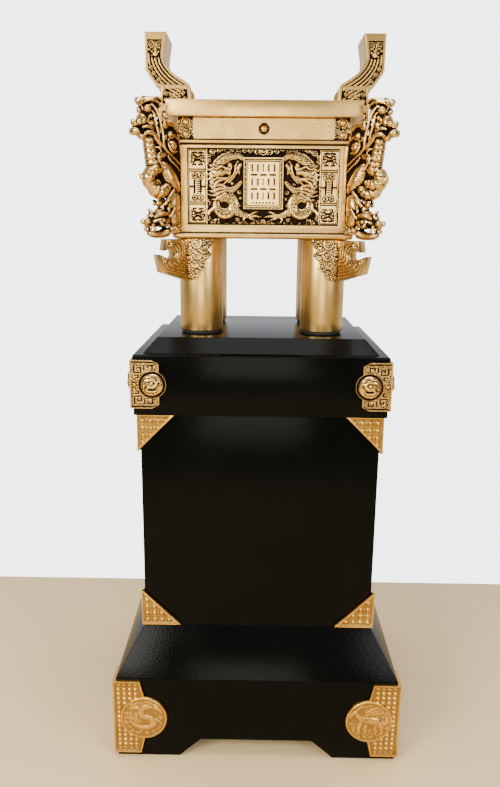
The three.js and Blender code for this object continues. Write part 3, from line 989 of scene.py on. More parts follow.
def start_group(name: str, inputs: dict[str, float], outputs: Sequence[str]) -> tuple[Tree, Node, Node]:
    """Makes an empty node group with a Place input.

    Args:
        name: The group's name.
        inputs: Number inputs and their usual values.
        outputs: Names of the masks or heights that it gives.

    Returns:
        The group, its input node and its output node.
    """
    group = bpy.data.node_groups.new(name, "ShaderNodeTree")
    face = group.interface
    face.new_socket("Place", in_out="INPUT", socket_type="NodeSocketVector")
    for label, value in inputs.items():
        socket = face.new_socket(label, in_out="INPUT", socket_type="NodeSocketFloat")
        socket.default_value = value
    for label in outputs:
        face.new_socket(label, in_out="OUTPUT", socket_type="NodeSocketFloat")
    return group, group.nodes.new("NodeGroupInput"), group.nodes.new("NodeGroupOutput")


def noise_in(tree: Tree, place: Socket, scale: float, detail: float) -> Node:
    """Adds a noise texture of so many bumps to the metre."""
    node = preset(add_node(tree, "ShaderNodeTexNoise"), Scale=scale, Detail=detail)
    tree.links.new(place, node.inputs["Vector"])
    return node


def arithmetic(tree: Tree, operation: str, first: object, second: object, clamp: bool = False) -> Socket:
    """Adds a Math node.

    Args:
        tree: The tree.
        operation: The kind of sum.
        first: A socket or a number.
        second: A socket or a number.
        clamp: True to keep the result between 0 and 1.

    Returns:
        The result's socket.
    """
    node = add_node(tree, "ShaderNodeMath", operation=operation, use_clamp=clamp)
    for value, socket in zip((first, second), node.inputs):
        if isinstance(value, Socket):
            tree.links.new(value, socket)
        else:
            socket.default_value = value
    return node.outputs[0]


@cache
def patina_and_shade_group() -> Tree:
    """Black-brown patina with painted shade that stays in the hollows and is rubbed off the high metal.

    Returns:
        The group: Hollow, Amount and Blotches in, Dark and Tarnish out.
    """
    usual = {"Hollow": 0.0, "Amount": 1.0, "Blotches": 0.2}
    group, entry, result = start_group("patina and painted shade", usual, ("Dark", "Tarnish"))
    fine = noise_in(group, entry.outputs["Place"], 260, 3)
    uneven = arithmetic(group, "SUBTRACT", fine.outputs["Fac"], 0.5)
    uneven = arithmetic(group, "MULTIPLY", uneven, entry.outputs["Blotches"])
    sunk = arithmetic(group, "ADD", entry.outputs["Hollow"], uneven)
    edge = add_node(group, "ShaderNodeMapRange", interpolation_type="SMOOTHSTEP")
    preset(edge, From_Min=0.15, From_Max=0.52)
    group.links.new(sunk, edge.inputs["Value"])
    dark = arithmetic(group, "MULTIPLY", edge.outputs["Result"], entry.outputs["Amount"], clamp=True)
    group.links.new(dark, result.inputs["Dark"])
    broad = noise_in(group, entry.outputs["Place"], 22, 4)
    cloudy = preset(add_node(group, "ShaderNodeMapRange"), From_Min=0.35, From_Max=0.7)
    group.links.new(broad.outputs["Fac"], cloudy.inputs["Value"])
    group.links.new(cloudy.outputs["Result"], result.inputs["Tarnish"])
    return group


@cache
def satin_group() -> Tree:
    """Fine lines that a rubbing pad leaves, with a softer grain under them.

    Returns:
        The group: Scale and Stretch in, Height out.
    """
    group, entry, result = start_group("satin rubbing", {"Scale": 900.0, "Stretch": 0.06}, ("Height",))
    squeeze = add_node(group, "ShaderNodeVectorMath", operation="MULTIPLY")
    triple = add_node(group, "ShaderNodeCombineXYZ")
    group.links.new(entry.outputs["Stretch"], triple.inputs["X"])
    group.links.new(entry.outputs["Stretch"], triple.inputs["Y"])
    triple.inputs["Z"].default_value = 1
    group.links.new(entry.outputs["Place"], squeeze.inputs[0])
    group.links.new(triple.outputs["Vector"], squeeze.inputs[1])
    lines = noise_in(group, squeeze.outputs["Vector"], 900, 2)
    group.links.new(entry.outputs["Scale"], lines.inputs["Scale"])
    grain = noise_in(group, entry.outputs["Place"], 1400, 2)
    both = arithmetic(group, "MULTIPLY", grain.outputs["Fac"], 0.35)
    both = arithmetic(group, "ADD", lines.outputs["Fac"], both)
    group.links.new(both, result.inputs["Height"])
    return group


@dataclass(frozen=True)
class Finish:
    """What every finish has.

    Attributes:
        name: The material's name.
        slot: The record's slot that it stands for, or an empty name for the stage.
    """

    name: str
    slot: str

    @cache
    def build(self) -> bpy.types.Material:
        """The material, mixed the first time that it is asked for."""
        recipe = Recipe(self.name)
        self.mix(recipe)
        return recipe.material

    def mix(self, recipe: "Recipe") -> None:
        """Adds the finish's own nodes to its recipe."""


@dataclass(frozen=True)
class Bronze(Finish):
    """Gilt bronze, bright where it is high and dark where it is sunk, with patina and painted shade.

    Attributes:
        bright: Colour of the rubbed metal.
        warm: Colour of the tarnished metal.
        dark: Colour of the patina and of the painted shade.
        gloss: Roughness of the bright metal.
        patina: How much patina and painted shade the hollows hold.
        blotches: How uneven its edge is.
        lines: Height of the rubbing lines, in millimetres.
    """

    bright: Point
    warm: Point
    dark: Point = (0.014, 0.007, 0.0035)
    gloss: float = 0.3
    patina: float = 1.0
    blotches: float = 0.3
    lines: float = 0.05

    def mix(self, recipe: "Recipe") -> None:
        """Lays patina and painted shade over rubbed metal, with fine lines in both."""
        wear_and_shade = recipe.effect(patina_and_shade_group(), Amount=self.patina, Blotches=self.blotches)
        # The hollows' patina and painted shade, stored on the mesh.
        hollow = recipe.add("ShaderNodeAttribute", attribute_name="hollow")
        recipe.join(hollow.outputs["Fac"], wear_and_shade.inputs["Hollow"])
        rubbed = recipe.effect(satin_group())
        metal = recipe.blend(wear_and_shade.outputs["Tarnish"], self.bright, self.warm)
        dark = wear_and_shade.outputs["Dark"]
        recipe.feed("Base Color", recipe.blend(dark, metal, self.dark))
        recipe.feed("Metallic", recipe.ramp(dark, 1.0, 0.8))
        recipe.shader.inputs["Specular IOR Level"].default_value = 0.2
        rough = recipe.ramp(dark, self.gloss, 0.62)
        cloudy = recipe.ramp(wear_and_shade.outputs["Tarnish"], -0.03, 0.05)
        recipe.feed("Roughness", arithmetic(recipe.tree, "ADD", rough, cloudy))
        recipe.bump(rubbed.outputs["Height"], 0.5, self.lines)


@dataclass(frozen=True)
class Lacquer(Finish):
    """Black lacquer with the soft unevenness of a sprayed coat.

    Attributes:
        colour: Its colour.
        gloss: Its roughness.
        peel: Height of the unevenness, in millimetres.
        peel_scale: Bumps to the metre.
    """

    colour: Point
    gloss: float
    peel: float
    peel_scale: float

    def mix(self, recipe: "Recipe") -> None:
        """Lays a thin dust over the sprayed skin."""
        recipe.shader.inputs["Specular IOR Level"].default_value = 0.06
        skin = noise_in(recipe.tree, recipe.place, self.peel_scale, 1.5)
        dust = noise_in(recipe.tree, recipe.place, 9, 5).outputs["Fac"]
        recipe.feed("Base Color", recipe.blend(dust, self.colour, [c * 1.9 for c in self.colour]))
        recipe.feed("Roughness", recipe.ramp(dust, self.gloss - 0.06, self.gloss + 0.08))
        recipe.bump(skin.outputs["Fac"], 1.0, self.peel)


@dataclass(frozen=True)
class Plain(Finish):
    """Rubber and the stage's matt surfaces.

    Attributes:
        colour: Its colour.
        rough: Its roughness.
        mottle: How much its colour varies.
    """

    colour: Point
    rough: float
    mottle: float = 0.08

    def mix(self, recipe: "Recipe") -> None:
        """Mottles one colour."""
        cloud = noise_in(recipe.tree, recipe.place, 6, 4).outputs["Fac"]
        low = [c * (1 - self.mottle) for c in self.colour]
        high = [min(1.0, c * (1 + self.mottle)) for c in self.colour]
        recipe.feed("Base Color", recipe.blend(cloud, low, high))
        recipe.feed("Roughness", recipe.ramp(cloud, self.rough - 0.05, self.rough + 0.05))


SATIN_BRONZE = Bronze(
    "satin champagne bronze", "satin_bronze", (0.77, 0.50, 0.165), (0.65, 0.38, 0.10), gloss=0.33
)
RELIEF_BRONZE = Bronze(
    "rubbed relief bronze", "relief_bronze", (0.84, 0.555, 0.195), (0.66, 0.37, 0.10), gloss=0.25
)
HANDLE_BRONZE = Bronze(
    "satin handle bronze", "relief_bronze", (0.78, 0.505, 0.165), (0.66, 0.38, 0.10), blotches=0.15
)
# The fittings' hollows hold less patina and painted shade.
GILT = Bronze(
    "gilt fitting", "gilt_fitting", (0.86, 0.51, 0.12), (0.70, 0.36, 0.06), gloss=0.3, patina=0.55
)
CHAMPAGNE = Bronze("champagne fitting", "gilt_fitting", (0.84, 0.55, 0.19), (0.68, 0.39, 0.10), gloss=0.26)
LACQUER = Lacquer("black lacquer", "black_lacquer", (0.0016, 0.0018, 0.0015), 0.14, 0.24, 240)
RUBBER = Plain("foot pad rubber", "foot_pad", (0.012, 0.012, 0.012), 0.7)
FLOOR = Plain("pale floor", "", (0.88, 0.655, 0.335), 0.5, 0.02)


def dress(piece: Piece, finish: Finish, *nodes: str) -> None:
    """Finishes a piece and ties it to the frame.

    Args:
        piece: The piece, its mesh final.
        finish: Its finish.
        nodes: Frame nodes that it stands for.
    """
    piece.data.materials.clear()
    piece.data.materials.append(finish.build())
    if finish.slot:
        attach(piece, BODY)
        if nodes:
            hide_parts(*nodes)
    else:
        piece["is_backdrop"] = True
    log.info("%s: %s, %d triangles", piece.name, finish.name, triangles(piece))


def place_copies(pattern: Piece, name: str, node: str, finish: Finish, places: dict[str, Matrix]) -> None:
    """Places dressed copies of a pattern and removes the pattern.

    Args:
        pattern: The finished pattern.
        name: The copies' name, before the corner's.
        node: The nodes' name, before the corner's.
        finish: The copies' finish.
        places: A matrix for each corner's name.
    """
    for corner, placing in places.items():
        dress(turned_copy(pattern, f"{name}_{corner}", placing), finish, f"{node}_{corner}")
    bpy.data.objects.remove(pattern)


# ---- shaping helpers


def box_of(node: str) -> tuple[Point, Point]:
    """Lowest and highest corners of a frame node in millimetres."""
    low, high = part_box(node)
    return tuple(c / MM for c in low), tuple(c / MM for c in high)


def merged_copy(frame: dict, node: str, name: str) -> Piece:
    """A copy of a frame node's mesh with its loose triangles joined into clean faces.

    Args:
        frame: The loaded frame.
        node: The node.
        name: The copy's name.

    Returns:
        The copy.
    """
    copy = bpy.data.objects.new(name, frame["nodes"][node].data.copy())
    bpy.context.collection.objects.link(copy)
    with open_mesh(copy):
        bpy.ops.mesh.remove_doubles(threshold=0.02 * MM)
        bpy.ops.mesh.dissolve_limited(angle_limit=math.radians(2))
    return copy


def raised_box(name: str, levels: Points, core: float) -> Piece:
    """A rectangular turned shape, raised level by level from its underside.

    Args:
        name: The piece's name.
        levels: (half depth, height) of each level; heights may go down again inside.
        core: Half of how much wider than deep it is.

    Returns:
        The piece.
    """
    half, height = levels[0]
    deselect()
    bpy.ops.mesh.primitive_plane_add(size=2, location=(0, 0, height * MM))
    bpy.ops.transform.resize(value=((half + core) * MM, half * MM, 1))
    bpy.ops.object.transform_apply()
    piece = named(name)
    with open_mesh(piece):
        for wider, higher in levels[1:]:
            bpy.ops.mesh.extrude_region_move(
                TRANSFORM_OT_translate={"value": (0, 0, (higher - height) * MM)}
            )
            bpy.ops.transform.resize(
                value=((wider + core) / (half + core), wider / half, 1), center_override=(0, 0, higher * MM)
            )
            half, height = wider, higher
    point_outwards(piece)
    return piece


def cut_plate(name: str, outline: Points, front: float, back: float) -> Piece:
    """A plate sawn to an outline, standing between two depths.

    Args:
        name: The piece's name.
        outline: Points (x, z) round its edge.
        front: Y of its front face.
        back: Y of its back face.

    Returns:
        The plate.
    """
    deselect()
    bpy.ops.mesh.primitive_circle_add(vertices=len(outline), radius=1, fill_type="NGON")
    plate = named(name)
    places = [(x * MM, front * MM, z * MM) for x, z in outline]
    plate.data.vertices.foreach_set("co", np.ravel(places))
    with open_mesh(plate):
        bpy.ops.mesh.extrude_region_move(TRANSFORM_OT_translate={"value": (0, (back - front) * MM, 0)})
    point_outwards(plate)
    return plate


def cut_away(piece: Piece, *cutters: Piece) -> None:
    """Cuts these shapes out of a piece and throws them away."""
    for cutter in cutters:
        modify(piece, "BOOLEAN", operation="DIFFERENCE", object=cutter, solver="EXACT")
        bpy.data.objects.remove(cutter)


def turned_bar(name: str, radius: float, low: float, high: float, sides: int, edge: float) -> Piece:
    """An upright round bar about the origin.

    Args:
        name: The piece's name.
        radius: Its radius.
        low: Height of its foot.
        high: Height of its top.
        sides: Faces round it.
        edge: How far its edges are eased.

    Returns:
        The bar.
    """
    deselect()
    bpy.ops.mesh.primitive_cylinder_add(
        vertices=sides, radius=radius * MM, depth=(high - low) * MM, location=(0, 0, (low + high) / 2 * MM)
    )
    bpy.ops.object.transform_apply()
    bar = named(name)
    ease_edges(bar, edge, 3, 60)
    return bar


def half_bead(out: float, low: float, high: float, steps: int = 8) -> list[Point]:
    """Levels of a half-round moulding that reaches out to a half depth."""
    radius = (high - low) / 2
    angles = [math.pi * (i / steps - 0.5) for i in range(steps + 1)]
    return [(out - radius + radius * math.cos(a), (low + high) / 2 + radius * math.sin(a)) for a in angles]


# ---- plinth


@dataclass
class Plinth:
    """The lacquered plinth, its edges eased as a joiner would."""

    frame: dict
    edge: float = 1.6

    def make(self) -> None:
        """Makes and lacquers the base, the column and the cap."""
        for node in ("plinth_base", "plinth_column", "plinth_cap"):
            piece = merged_copy(self.frame, node, node.replace("plinth", "lacquered"))
            ease_edges(piece, self.edge, 3, 20)
            dress(piece, LACQUER, node)


# ---- plinth fittings


@dataclass
class Fitting:
    """What the corner fittings share.

    Attributes:
        thickness: Of the plate.
        gap: Air behind it.
        border: Width of the plain edge.
        pitch: Spacing of the grid that it is chased on.
        disc_middle: Where a medallion sits on a face, out from the corner and up.
    """

    thickness: float = 7.0
    gap: float = 0.3
    border: float = 4.0
    pitch: float = 1.9
    disc_middle: Point = (70.5, 117.5)

    @property
    def lift(self) -> float:
        """Level of the plate's face above the plinth."""
        return self.thickness + self.gap

    def lay_out(self, rows: Points) -> tuple[Relief, Array]:
        """A plate that reaches as far on both faces.

        Args:
            rows: (height, reach) from the lowest up.

        Returns:
            The plate, flat, and how far each of its points is from the edge.
        """
        relief = Relief.ruled([(z, -reach, reach) for z, reach in rows], self.pitch)
        width = np.interp(relief.v, *zip(*rows))
        upright = np.minimum(relief.v - rows[0][0], rows[-1][0] - relief.v)
        return relief, np.minimum(width - np.abs(relief.u), upright)

    def on_face(self, hand: int) -> Mapper:
        """Maps a disc onto the front face (hand -1) or the side's."""
        x, z = self.disc_middle

        def place(u: Array, v: Array, h: Array) -> Array:
            """Puts points of the disc on the face."""
            out = self.lift + h
            return np.stack([u - x, -out, v + z] if hand < 0 else [out, u + x, v + z], axis=-1)

        return place

    def sink_field(self, relief: Relief, edge: Array, depth: float, seed: int) -> None:
        """Sinks the plate inside its plain border.

        Args:
            relief: The plate.
            edge: Distance of each point from the plate's edge.
            depth: How far the field is sunk.
            seed: Picks the stippling.
        """
        field_part = np.clip((edge - self.border) / 1.2, 0, 1)
        spine = np.clip((np.abs(relief.u) - 2.5) / 1.2, 0, 1)
        sunk = np.minimum(field_part, spine)
        relief.h -= depth * sunk
        relief.grain(0.35, seed, sunk > 0.5)

    def stud(self, relief: Relief, u: float, v: float, base: float, radius: float = 5.6) -> None:
        """A round-headed stud on both faces."""
        for hand in (-1, 1):
            relief.dome((u * hand, v), radius, radius * 0.85, base)

    def beat(self, relief: Relief, name: str, most: float) -> Piece:
        """Makes the plate, its sunk field as dark as asked for."""
        relief.sink_below(-0.8, 1.8, most)
        return relief.raise_piece(name, folded(self.lift), self.gap - self.lift)


@dataclass
class TriangleFittings(Fitting):
    """The studded triangles at the column's foot and top."""

    border: float = 5.0
    stud_pitch: float = 18.5
    stud_start: float = 14.0

    def make(self) -> None:
        """Makes both sets."""
        self._set("column_foot_fitting", "studded_foot", standing=True)
        self._set("column_top_fitting", "studded_top", standing=False)

    def _set(self, node: str, name: str, standing: bool) -> None:
        """Makes the four triangles of one level."""
        low, high = box_of(f"{node}_front_right")
        _, column_high = box_of("plinth_column")
        way = 1 if standing else -1
        reach = high[0] - low[0] - self.gap
        foot = low[2] if standing else high[2]
        tip = foot + (reach - 1) * way
        wide, thin = (foot, -reach, reach), (tip, -1, 1)
        relief = Relief.ruled([wide, thin] if standing else [thin, wide], self.pitch)
        up = np.abs(relief.v - foot)
        along = np.abs(relief.u)
        edge = np.minimum((reach - along - up) / math.sqrt(2), up)
        self.sink_field(relief, edge, 2.6, 3)
        hem = (edge > 0) & ((reach - along - up) / math.sqrt(2) < self.border)
        relief.h += np.where(hem, 1.0, 0)
        for row in range(4):
            for column in range(4 - row):
                u = self.stud_start + column * self.stud_pitch
                v = foot + way * (self.stud_start + row * self.stud_pitch)
                self.stud(relief, u, v, -2.6)
                if column + row < 3:
                    half = self.stud_pitch / 2
                    self.stud(relief, u + half, v, -2.6, 2.4)
                    self.stud(relief, u, v + way * half, -2.6, 2.4)
        plate = self.beat(relief, name, 0.3)
        place_copies(plate, name, node, GILT, corner_places(column_high))


@dataclass
class BaseFittings(Fitting):
    """The studded plates on the base, each with a medallion on both faces."""

    disc_radius: float = 60.0
    stud_pitch: float = 14.2

    def make(self) -> None:
        """Makes the plates and their medallions."""
        low, high = box_of("base_fitting_front_right")
        _, base_high = box_of("plinth_base")
        bottom, top = low[2], high[2]
        middle = (bottom + top) / 2
        narrow, wide = 69.0, 83.0
        rows = [(bottom, narrow), (middle - 45, wide), (middle + 45, wide), (top, narrow)]
        relief, edge = self.lay_out(rows)
        self.sink_field(relief, edge, 3.0, 5)
        for row in range(15):
            v = bottom + 10 + row * (top - bottom - 20) / 14
            for column in range(4):
                self.stud(relief, 14.5 + column * self.stud_pitch, v, -3.0, 5.2)
        plate = self.beat(relief, "base_plate", 0.3)
        for corner, placing in corner_places(base_high).items():
            horned = corner in ("front_right", "back_left")
            faces = [self._medallion(hand, horned) for hand in (-1, 1)]
            copy = turned_copy(plate, "plate_copy", Matrix.Identity(4))
            fitting = join(f"studded_base_{corner}", copy, *faces)
            fitting.data.transform(placing)
            dress(fitting, GILT, f"base_fitting_{corner}")
        bpy.data.objects.remove(plate)

    def _medallion(self, hand: int, horned: bool) -> Piece:
        """One medallion.

        Args:
            hand: -1 for the front face's, 1 for the side's.
            horned: True for the horned beast, False for the winged serpent.

        Returns:
            The disc.
        """
        relief = Relief.round_field((0, 0), self.disc_radius, self.pitch)
        draw = BeastMedallion(relief, -hand, level=0.6)
        if horned:
            draw.horned()
        else:
            draw.serpent()
        relief.ease_rim(self.disc_radius - np.hypot(relief.u, relief.v), 2.0)
        return relief.raise_piece("medallion", self.on_face(hand), self.gap - self.lift)


@dataclass
class Beast:
    """What beasts in relief share: each is drawn for the right and mirrored for the left.

    Attributes:
        relief: The field that it is chased on.
        hand: 1, or -1 for the mirror image.
        pinch: How wide it is, as a share of its full width.
        level: The level that its curls lie on.
    """

    relief: Relief
    hand: int
    pinch: float = 1.0
    level: float = 2.5

    def at(self, x: float, z: float) -> Point:
        """Places a point of the right-hand beast."""
        return x * self.hand * self.pinch, z

    def bar(self, points: Points, girth: Numbers, rise: float = 0.9, **more: object) -> None:
        """Adds a bar."""
        slim = 0.5 + 0.5 * self.pinch
        self.relief.bar([self.at(*point) for point in points], [g * slim for g in girth], rise, **more)

    def curl(self, x: float, z: float, radius: float, girth: float, start: float = 0) -> None:
        """Adds a curl of cloud or flame."""
        angle = start if self.hand > 0 else 180 - start
        size = radius * (0.4 + 0.6 * self.pinch)
        slim = girth * (0.5 + 0.5 * self.pinch)
        self.relief.curl(self.at(x, z), size, slim, angle, self.hand, base=self.level)


class BeastMedallion(Beast):
    """Beasts chased on a disc about its own middle."""

    def _ground(self) -> None:
        """The stippled ground inside a double rim."""
        relief = self.relief
        radius = np.hypot(relief.u, relief.v)
        relief.h = np.where(radius < 53.5, 0.6, 2.4)
        relief.grain(0.22, 11, radius < 53)
        relief.ring((0, 0), 54, 1.0, -1.2)
        relief.floor = np.where(np.abs(radius - 54) < 1.1, 0.7, 0.0)

    def _limb(self, points: Points, girth: Numbers, hide: Hide = Hide.SMOOTH) -> None:
        """A low limb with its outline; where it lies the metal is bright."""
        line = rounded([self.at(*point) for point in points], STEP)
        radius = spread(girth, len(line))
        mask, far, nearest, _ = self.relief.near(line, float(radius.max()) + 1.4)
        inside = far < radius[nearest]
        about = far < radius[nearest] + 1.4
        self.relief.floor[mask] = np.where(about, np.where(inside, 0.0, 0.8), self.relief.floor[mask])
        self.bar(points, girth, 0.42, base=1.1, hide=hide)

    def serpent(self) -> None:
        """A winding serpent with legs, mane and curls."""
        self._ground()
        for x, z in ((30, 38), (43, 12), (-43, 2), (30, -38), (-26, -42), (20, 8), (-8, -44), (45, -14)):
            self.curl(x, z, 5.5, 1.8, 40)
        self._limb([(6, 24), (22, 32), (36, 26)], (5, 4, 2))
        self._limb([(-18, -2), (-36, -6), (-46, -16)], (5, 4, 2))
        self._limb([(4, -26), (8, -40), (22, -46)], (5, 4, 2))
        body = [
            (-30, 30), (-12, 34), (6, 24), (2, 6), (-18, -2), (-24, -18), (-6, -28), (18, -24), (36, -8)
        ]
        self._limb(body, (5, 7, 8, 8, 8, 7, 6, 5, 2), Hide.SCALES)
        self._limb([(-30, 34), (-40, 26), (-46, 17)], (7, 6, 3))
        self.relief.dome(self.at(-36, 32), 2.6, 6.5)
        for lift in (0, 6, 12):
            self._limb([(-24, 38 + lift / 3), (-8, 46 + lift / 4), (10, 44 - lift)], (2, 2, 1))

    def horned(self) -> None:
        """A horned and feathered beast that steps forward."""
        self._ground()
        for x, z in ((47, -16), (-45, -6), (6, -44), (-26, -44), (32, -43), (-20, 44), (44, 26)):
            self.curl(x, z, 5, 1.8, 200)
        self._limb([(30, -8), (45, 0), (42, 17), (33, 12)], (4, 4, 3, 1))
        for foot in (-24, -8, 18, 34):
            self._limb([(foot + 4, -2), (foot - 2, -20), (foot, -32), (foot - 8, -37)], (5, 4, 3, 2))
        self._limb([(-18, 8), (2, 4), (22, -2), (31, -14)], (9, 12, 11, 6), Hide.SCALES)
        self._limb([(-18, 8), (-28, 18), (-34, 26)], (9, 8, 6))
        self._limb([(-34, 27), (-44, 21), (-49, 12)], (6, 5, 3))
        self.relief.dome(self.at(-37, 27), 2.4, 6.5)
        self._limb([(-32, 33), (-22, 43), (-6, 45)], (3, 3, 1))
        for lift in (0, 8, 16):
            self._limb([(-8, 12 + lift), (10, 22 + lift), (36 - lift, 26 + lift)], (3, 3.4, 1))


@dataclass
class CapFittings(Fitting):
    """The fretted plates on the cap, each with a domed medallion on both faces."""

    thickness: float = 6.0
    pitch: float = 1.6
    disc_middle: Point = (47.0, 985.0)
    disc_radius: float = 33.0
    dome: float = 27.5

    def make(self) -> None:
        """Makes the plates and their domes."""
        low, high = box_of("cap_fitting_front_right")
        _, cap_high = box_of("plinth_cap")
        bottom, top, wide, cut = low[2], high[2], 69.0, 17.0
        rows = [(bottom, wide - cut), (bottom + 9, wide), (top - 9, wide), (top, wide - cut)]
        relief, edge = self.lay_out(rows)
        self.sink_field(relief, edge, 0.5, 7)
        seam = (edge > self.border + 2.2) & (edge < self.border + 4.6) & (np.abs(relief.u) > 6)
        relief.h = np.where(seam, -0.5, relief.h)
        self._fret(relief, bottom, top)
        plate = self.beat(relief, "cap_plate", 0.16)
        domes = [self._dome(hand) for hand in (-1, 1)]
        fitting = join("cap_pattern", plate, *domes)
        place_copies(fitting, "fretted_cap", "cap_fitting", CHAMPAGNE, corner_places(cap_high))

    def _fret(self, relief: Relief, bottom: float, top: float) -> None:
        """Square frets above and below the dome, on both faces."""
        for hand in (-1, 1):
            for edge, way in ((bottom, 1), (top, -1)):
                for points in (
                    [(11, 13), (11, 29), (27, 29), (27, 19), (18, 19), (18, 23)],
                    [(34, 13), (34, 24), (54, 24), (54, 14), (42, 14), (42, 18)],
                    [(11, 36), (20, 36), (20, 43), (14, 43)], [(59, 22), (59, 33), (52, 33)]
                ):
                    line = [(x * hand, edge + way * z) for x, z in points]
                    for a, b in zip(line, line[1:]):
                        relief.groove([a, b], 1.5, 0.9)
            relief.dome((11 * hand, self.disc_middle[1]), 4.0, 2.2, -0.5)

    def _dome(self, hand: int) -> Piece:
        """The domed medallion on one face, with a small coiled dragon.

        Args:
            hand: -1 for the front face, 1 for the side.

        Returns:
            The dome.
        """
        relief = Relief.round_field((0, 0), self.disc_radius, 1.4)
        radius = np.hypot(relief.u, relief.v)
        swell = 2 + 11.0 * np.sqrt(np.clip(1 - (radius / self.dome) ** 2, 0, 1))
        step = 2.2 - 1.6 * np.exp(-(((radius - 28.2) / 0.9) ** 2))
        chased = Relief(relief.u, relief.v, True)
        body = [(-12, 12), (4, 14), (12, 4), (4, -4), (-8, -4), (-12, -13), (4, -15), (16, -10)]
        chased.bar([(x * hand, z) for x, z in body], (2.6, 3.4, 3.4, 3.2, 3.2, 3, 2.4, 1.2), 0.55, 0.3)
        chased.bar([(x * hand, z) for x, z in ((-10, 14), (-17, 10), (-20, 4))], (3, 3, 1.5), 0.5, 0.3)
        for x, z in ((-3, 21), (18, 10), (-19, -3), (-19, -12), (9, -21), (1, 5)):
            chased.curl((x * hand, z), 3.4, 1.3, 60, hand)
        relief.h = np.where(radius > self.dome, step, swell) + chased.h
        relief.floor = np.where(np.abs(radius - 28.4) < 1.0, 0.8, 0.0)
        return relief.raise_piece("dome", self.on_face(hand), self.gap - self.lift)


# ---- vessel


@dataclass
class Vessel:
    """The open box of the vessel, with its neck bands and studs."""

    core: float = 47.5
    body: float = 148.0
    neck: float = 154.5
    rim: float = 178.0
    stud: float = 8.0
    mouth: float = 130.5
    inside: float = 133.0

    def make(self) -> None:
        """Makes the vessel and its neck bands."""
        low, high = box_of("vessel_body")
        bottom, top = low[2], high[2]
        levels = [
            *half_bead(self.body + 19.5, bottom, bottom + 13), (self.body + 3, bottom + 13.5),
            (self.body, bottom + 14.5), (self.body, bottom + 18), (self.body, bottom + 212),
            (self.body, bottom + 216), *half_bead(self.neck + 2.5, bottom + 216.5, bottom + 226),
            (self.neck - 1.5, bottom + 226.5), (self.neck - 1.5, bottom + 274),
            (self.neck + 5, bottom + 275), (self.rim, bottom + 275), (self.rim, top), (self.mouth, top),
            (self.mouth, top - 29), (self.inside + 8, top - 41), (self.inside + 8, bottom + 230),
            (self.inside, bottom + 212), (self.inside, bottom + 24)
        ]
        vessel = raised_box("vessel_cast", levels, self.core)
        self._cut_pockets(vessel)
        ease_edges(vessel, 1.6, 3, 40)
        # Patina and painted shade along the creases where the beads meet the wall.
        self._darken_creases(vessel, (bottom + 13.6, bottom + 216.2, bottom + 226.8))
        dress(vessel, SATIN_BRONZE, "vessel_body")
        for turn, side in enumerate(SIDES):
            self._band(turn, side, bottom + 227, bottom + 274)

    def _darken_creases(self, vessel: Piece, seams: Numbers) -> None:
        """Darkens the outside along its level seams where the beads meet the wall: patina with painted
        shade.
        """
        place = np.empty(len(vessel.data.vertices) * 3)
        vessel.data.vertices.foreach_get("co", place)
        height = place[2::3] / MM
        sunk = np.max([np.clip(1 - np.abs(height - seam) / 3.4, 0, 1) for seam in seams], axis=0)
        attribute = vessel.data.attributes.new("hollow", "FLOAT", "POINT")
        attribute.data.foreach_set("value", sunk * 0.75)

    def _cut_pockets(self, vessel: Piece) -> None:
        """Cuts the four pockets that the panels sit in."""
        for turn, side in enumerate(SIDES):
            low, high = box_of(f"panel_{side}")
            long_side = turn % 2 == 0
            half = (high[0] if long_side else high[1]) + 0.3
            wall = self.body + (0 if long_side else self.core)
            outline = [
                (-half, low[2] - 0.3), (half, low[2] - 0.3), (half, high[2] + 0.3), (-half, high[2] + 0.3)
            ]
            cutter = cut_plate("pocket", outline, -wall - 20, 8 - wall)
            cutter.data.transform(quarter_turn(turn))
            cut_away(vessel, cutter)

    def _band(self, turn: int, side: str, low: float, high: float) -> None:
        """The chased band round one side of the neck.

        Args:
            turn: Quarters turned from the front.
            side: The side's name.
            low: Height of its lower edge.
            high: Height of its upper edge.
        """
        half = self.neck + (self.core if turn % 2 == 0 else 0) - 0.2
        relief = Relief.ruled([(low, -half, half), (high, -half, half)], 1.9)
        middle = (low + high) / 2
        square = 38.0
        end = np.abs(relief.u) > half - square
        upright = np.minimum(relief.v - low, high - relief.v)
        relief.grain(0.45, 21 + turn, end)
        ripple = np.sin(0.8 * np.hypot(np.abs(relief.u) * 0.8 - 90, relief.v - low))
        relief.h += np.where(end, 0, 0.05 * ripple)
        relief.h += np.where(end & (upright > 2), -0.5, 0.0)
        relief.floor = np.where(upright < 1.6, 0.6, 0.0)
        studs = [(0.0, middle)]
        for hand in (-1, 1):
            studs += [(hand * (half - 19), middle + 13.5), (hand * (half - 19), middle - 13)]
        for spot in studs:
            relief.ring(spot, self.stud + 1.6, 1.6, -0.9)
            relief.dome(spot, self.stud, 5.2, -0.4)
        wall = self.neck - 1.5 + (self.core if turn % 2 else 0)
        band = relief.raise_piece(f"neck_band_{side}", facing(turn, wall + 1.2), -1.0)
        dress(band, SATIN_BRONZE)


# ---- relief panels


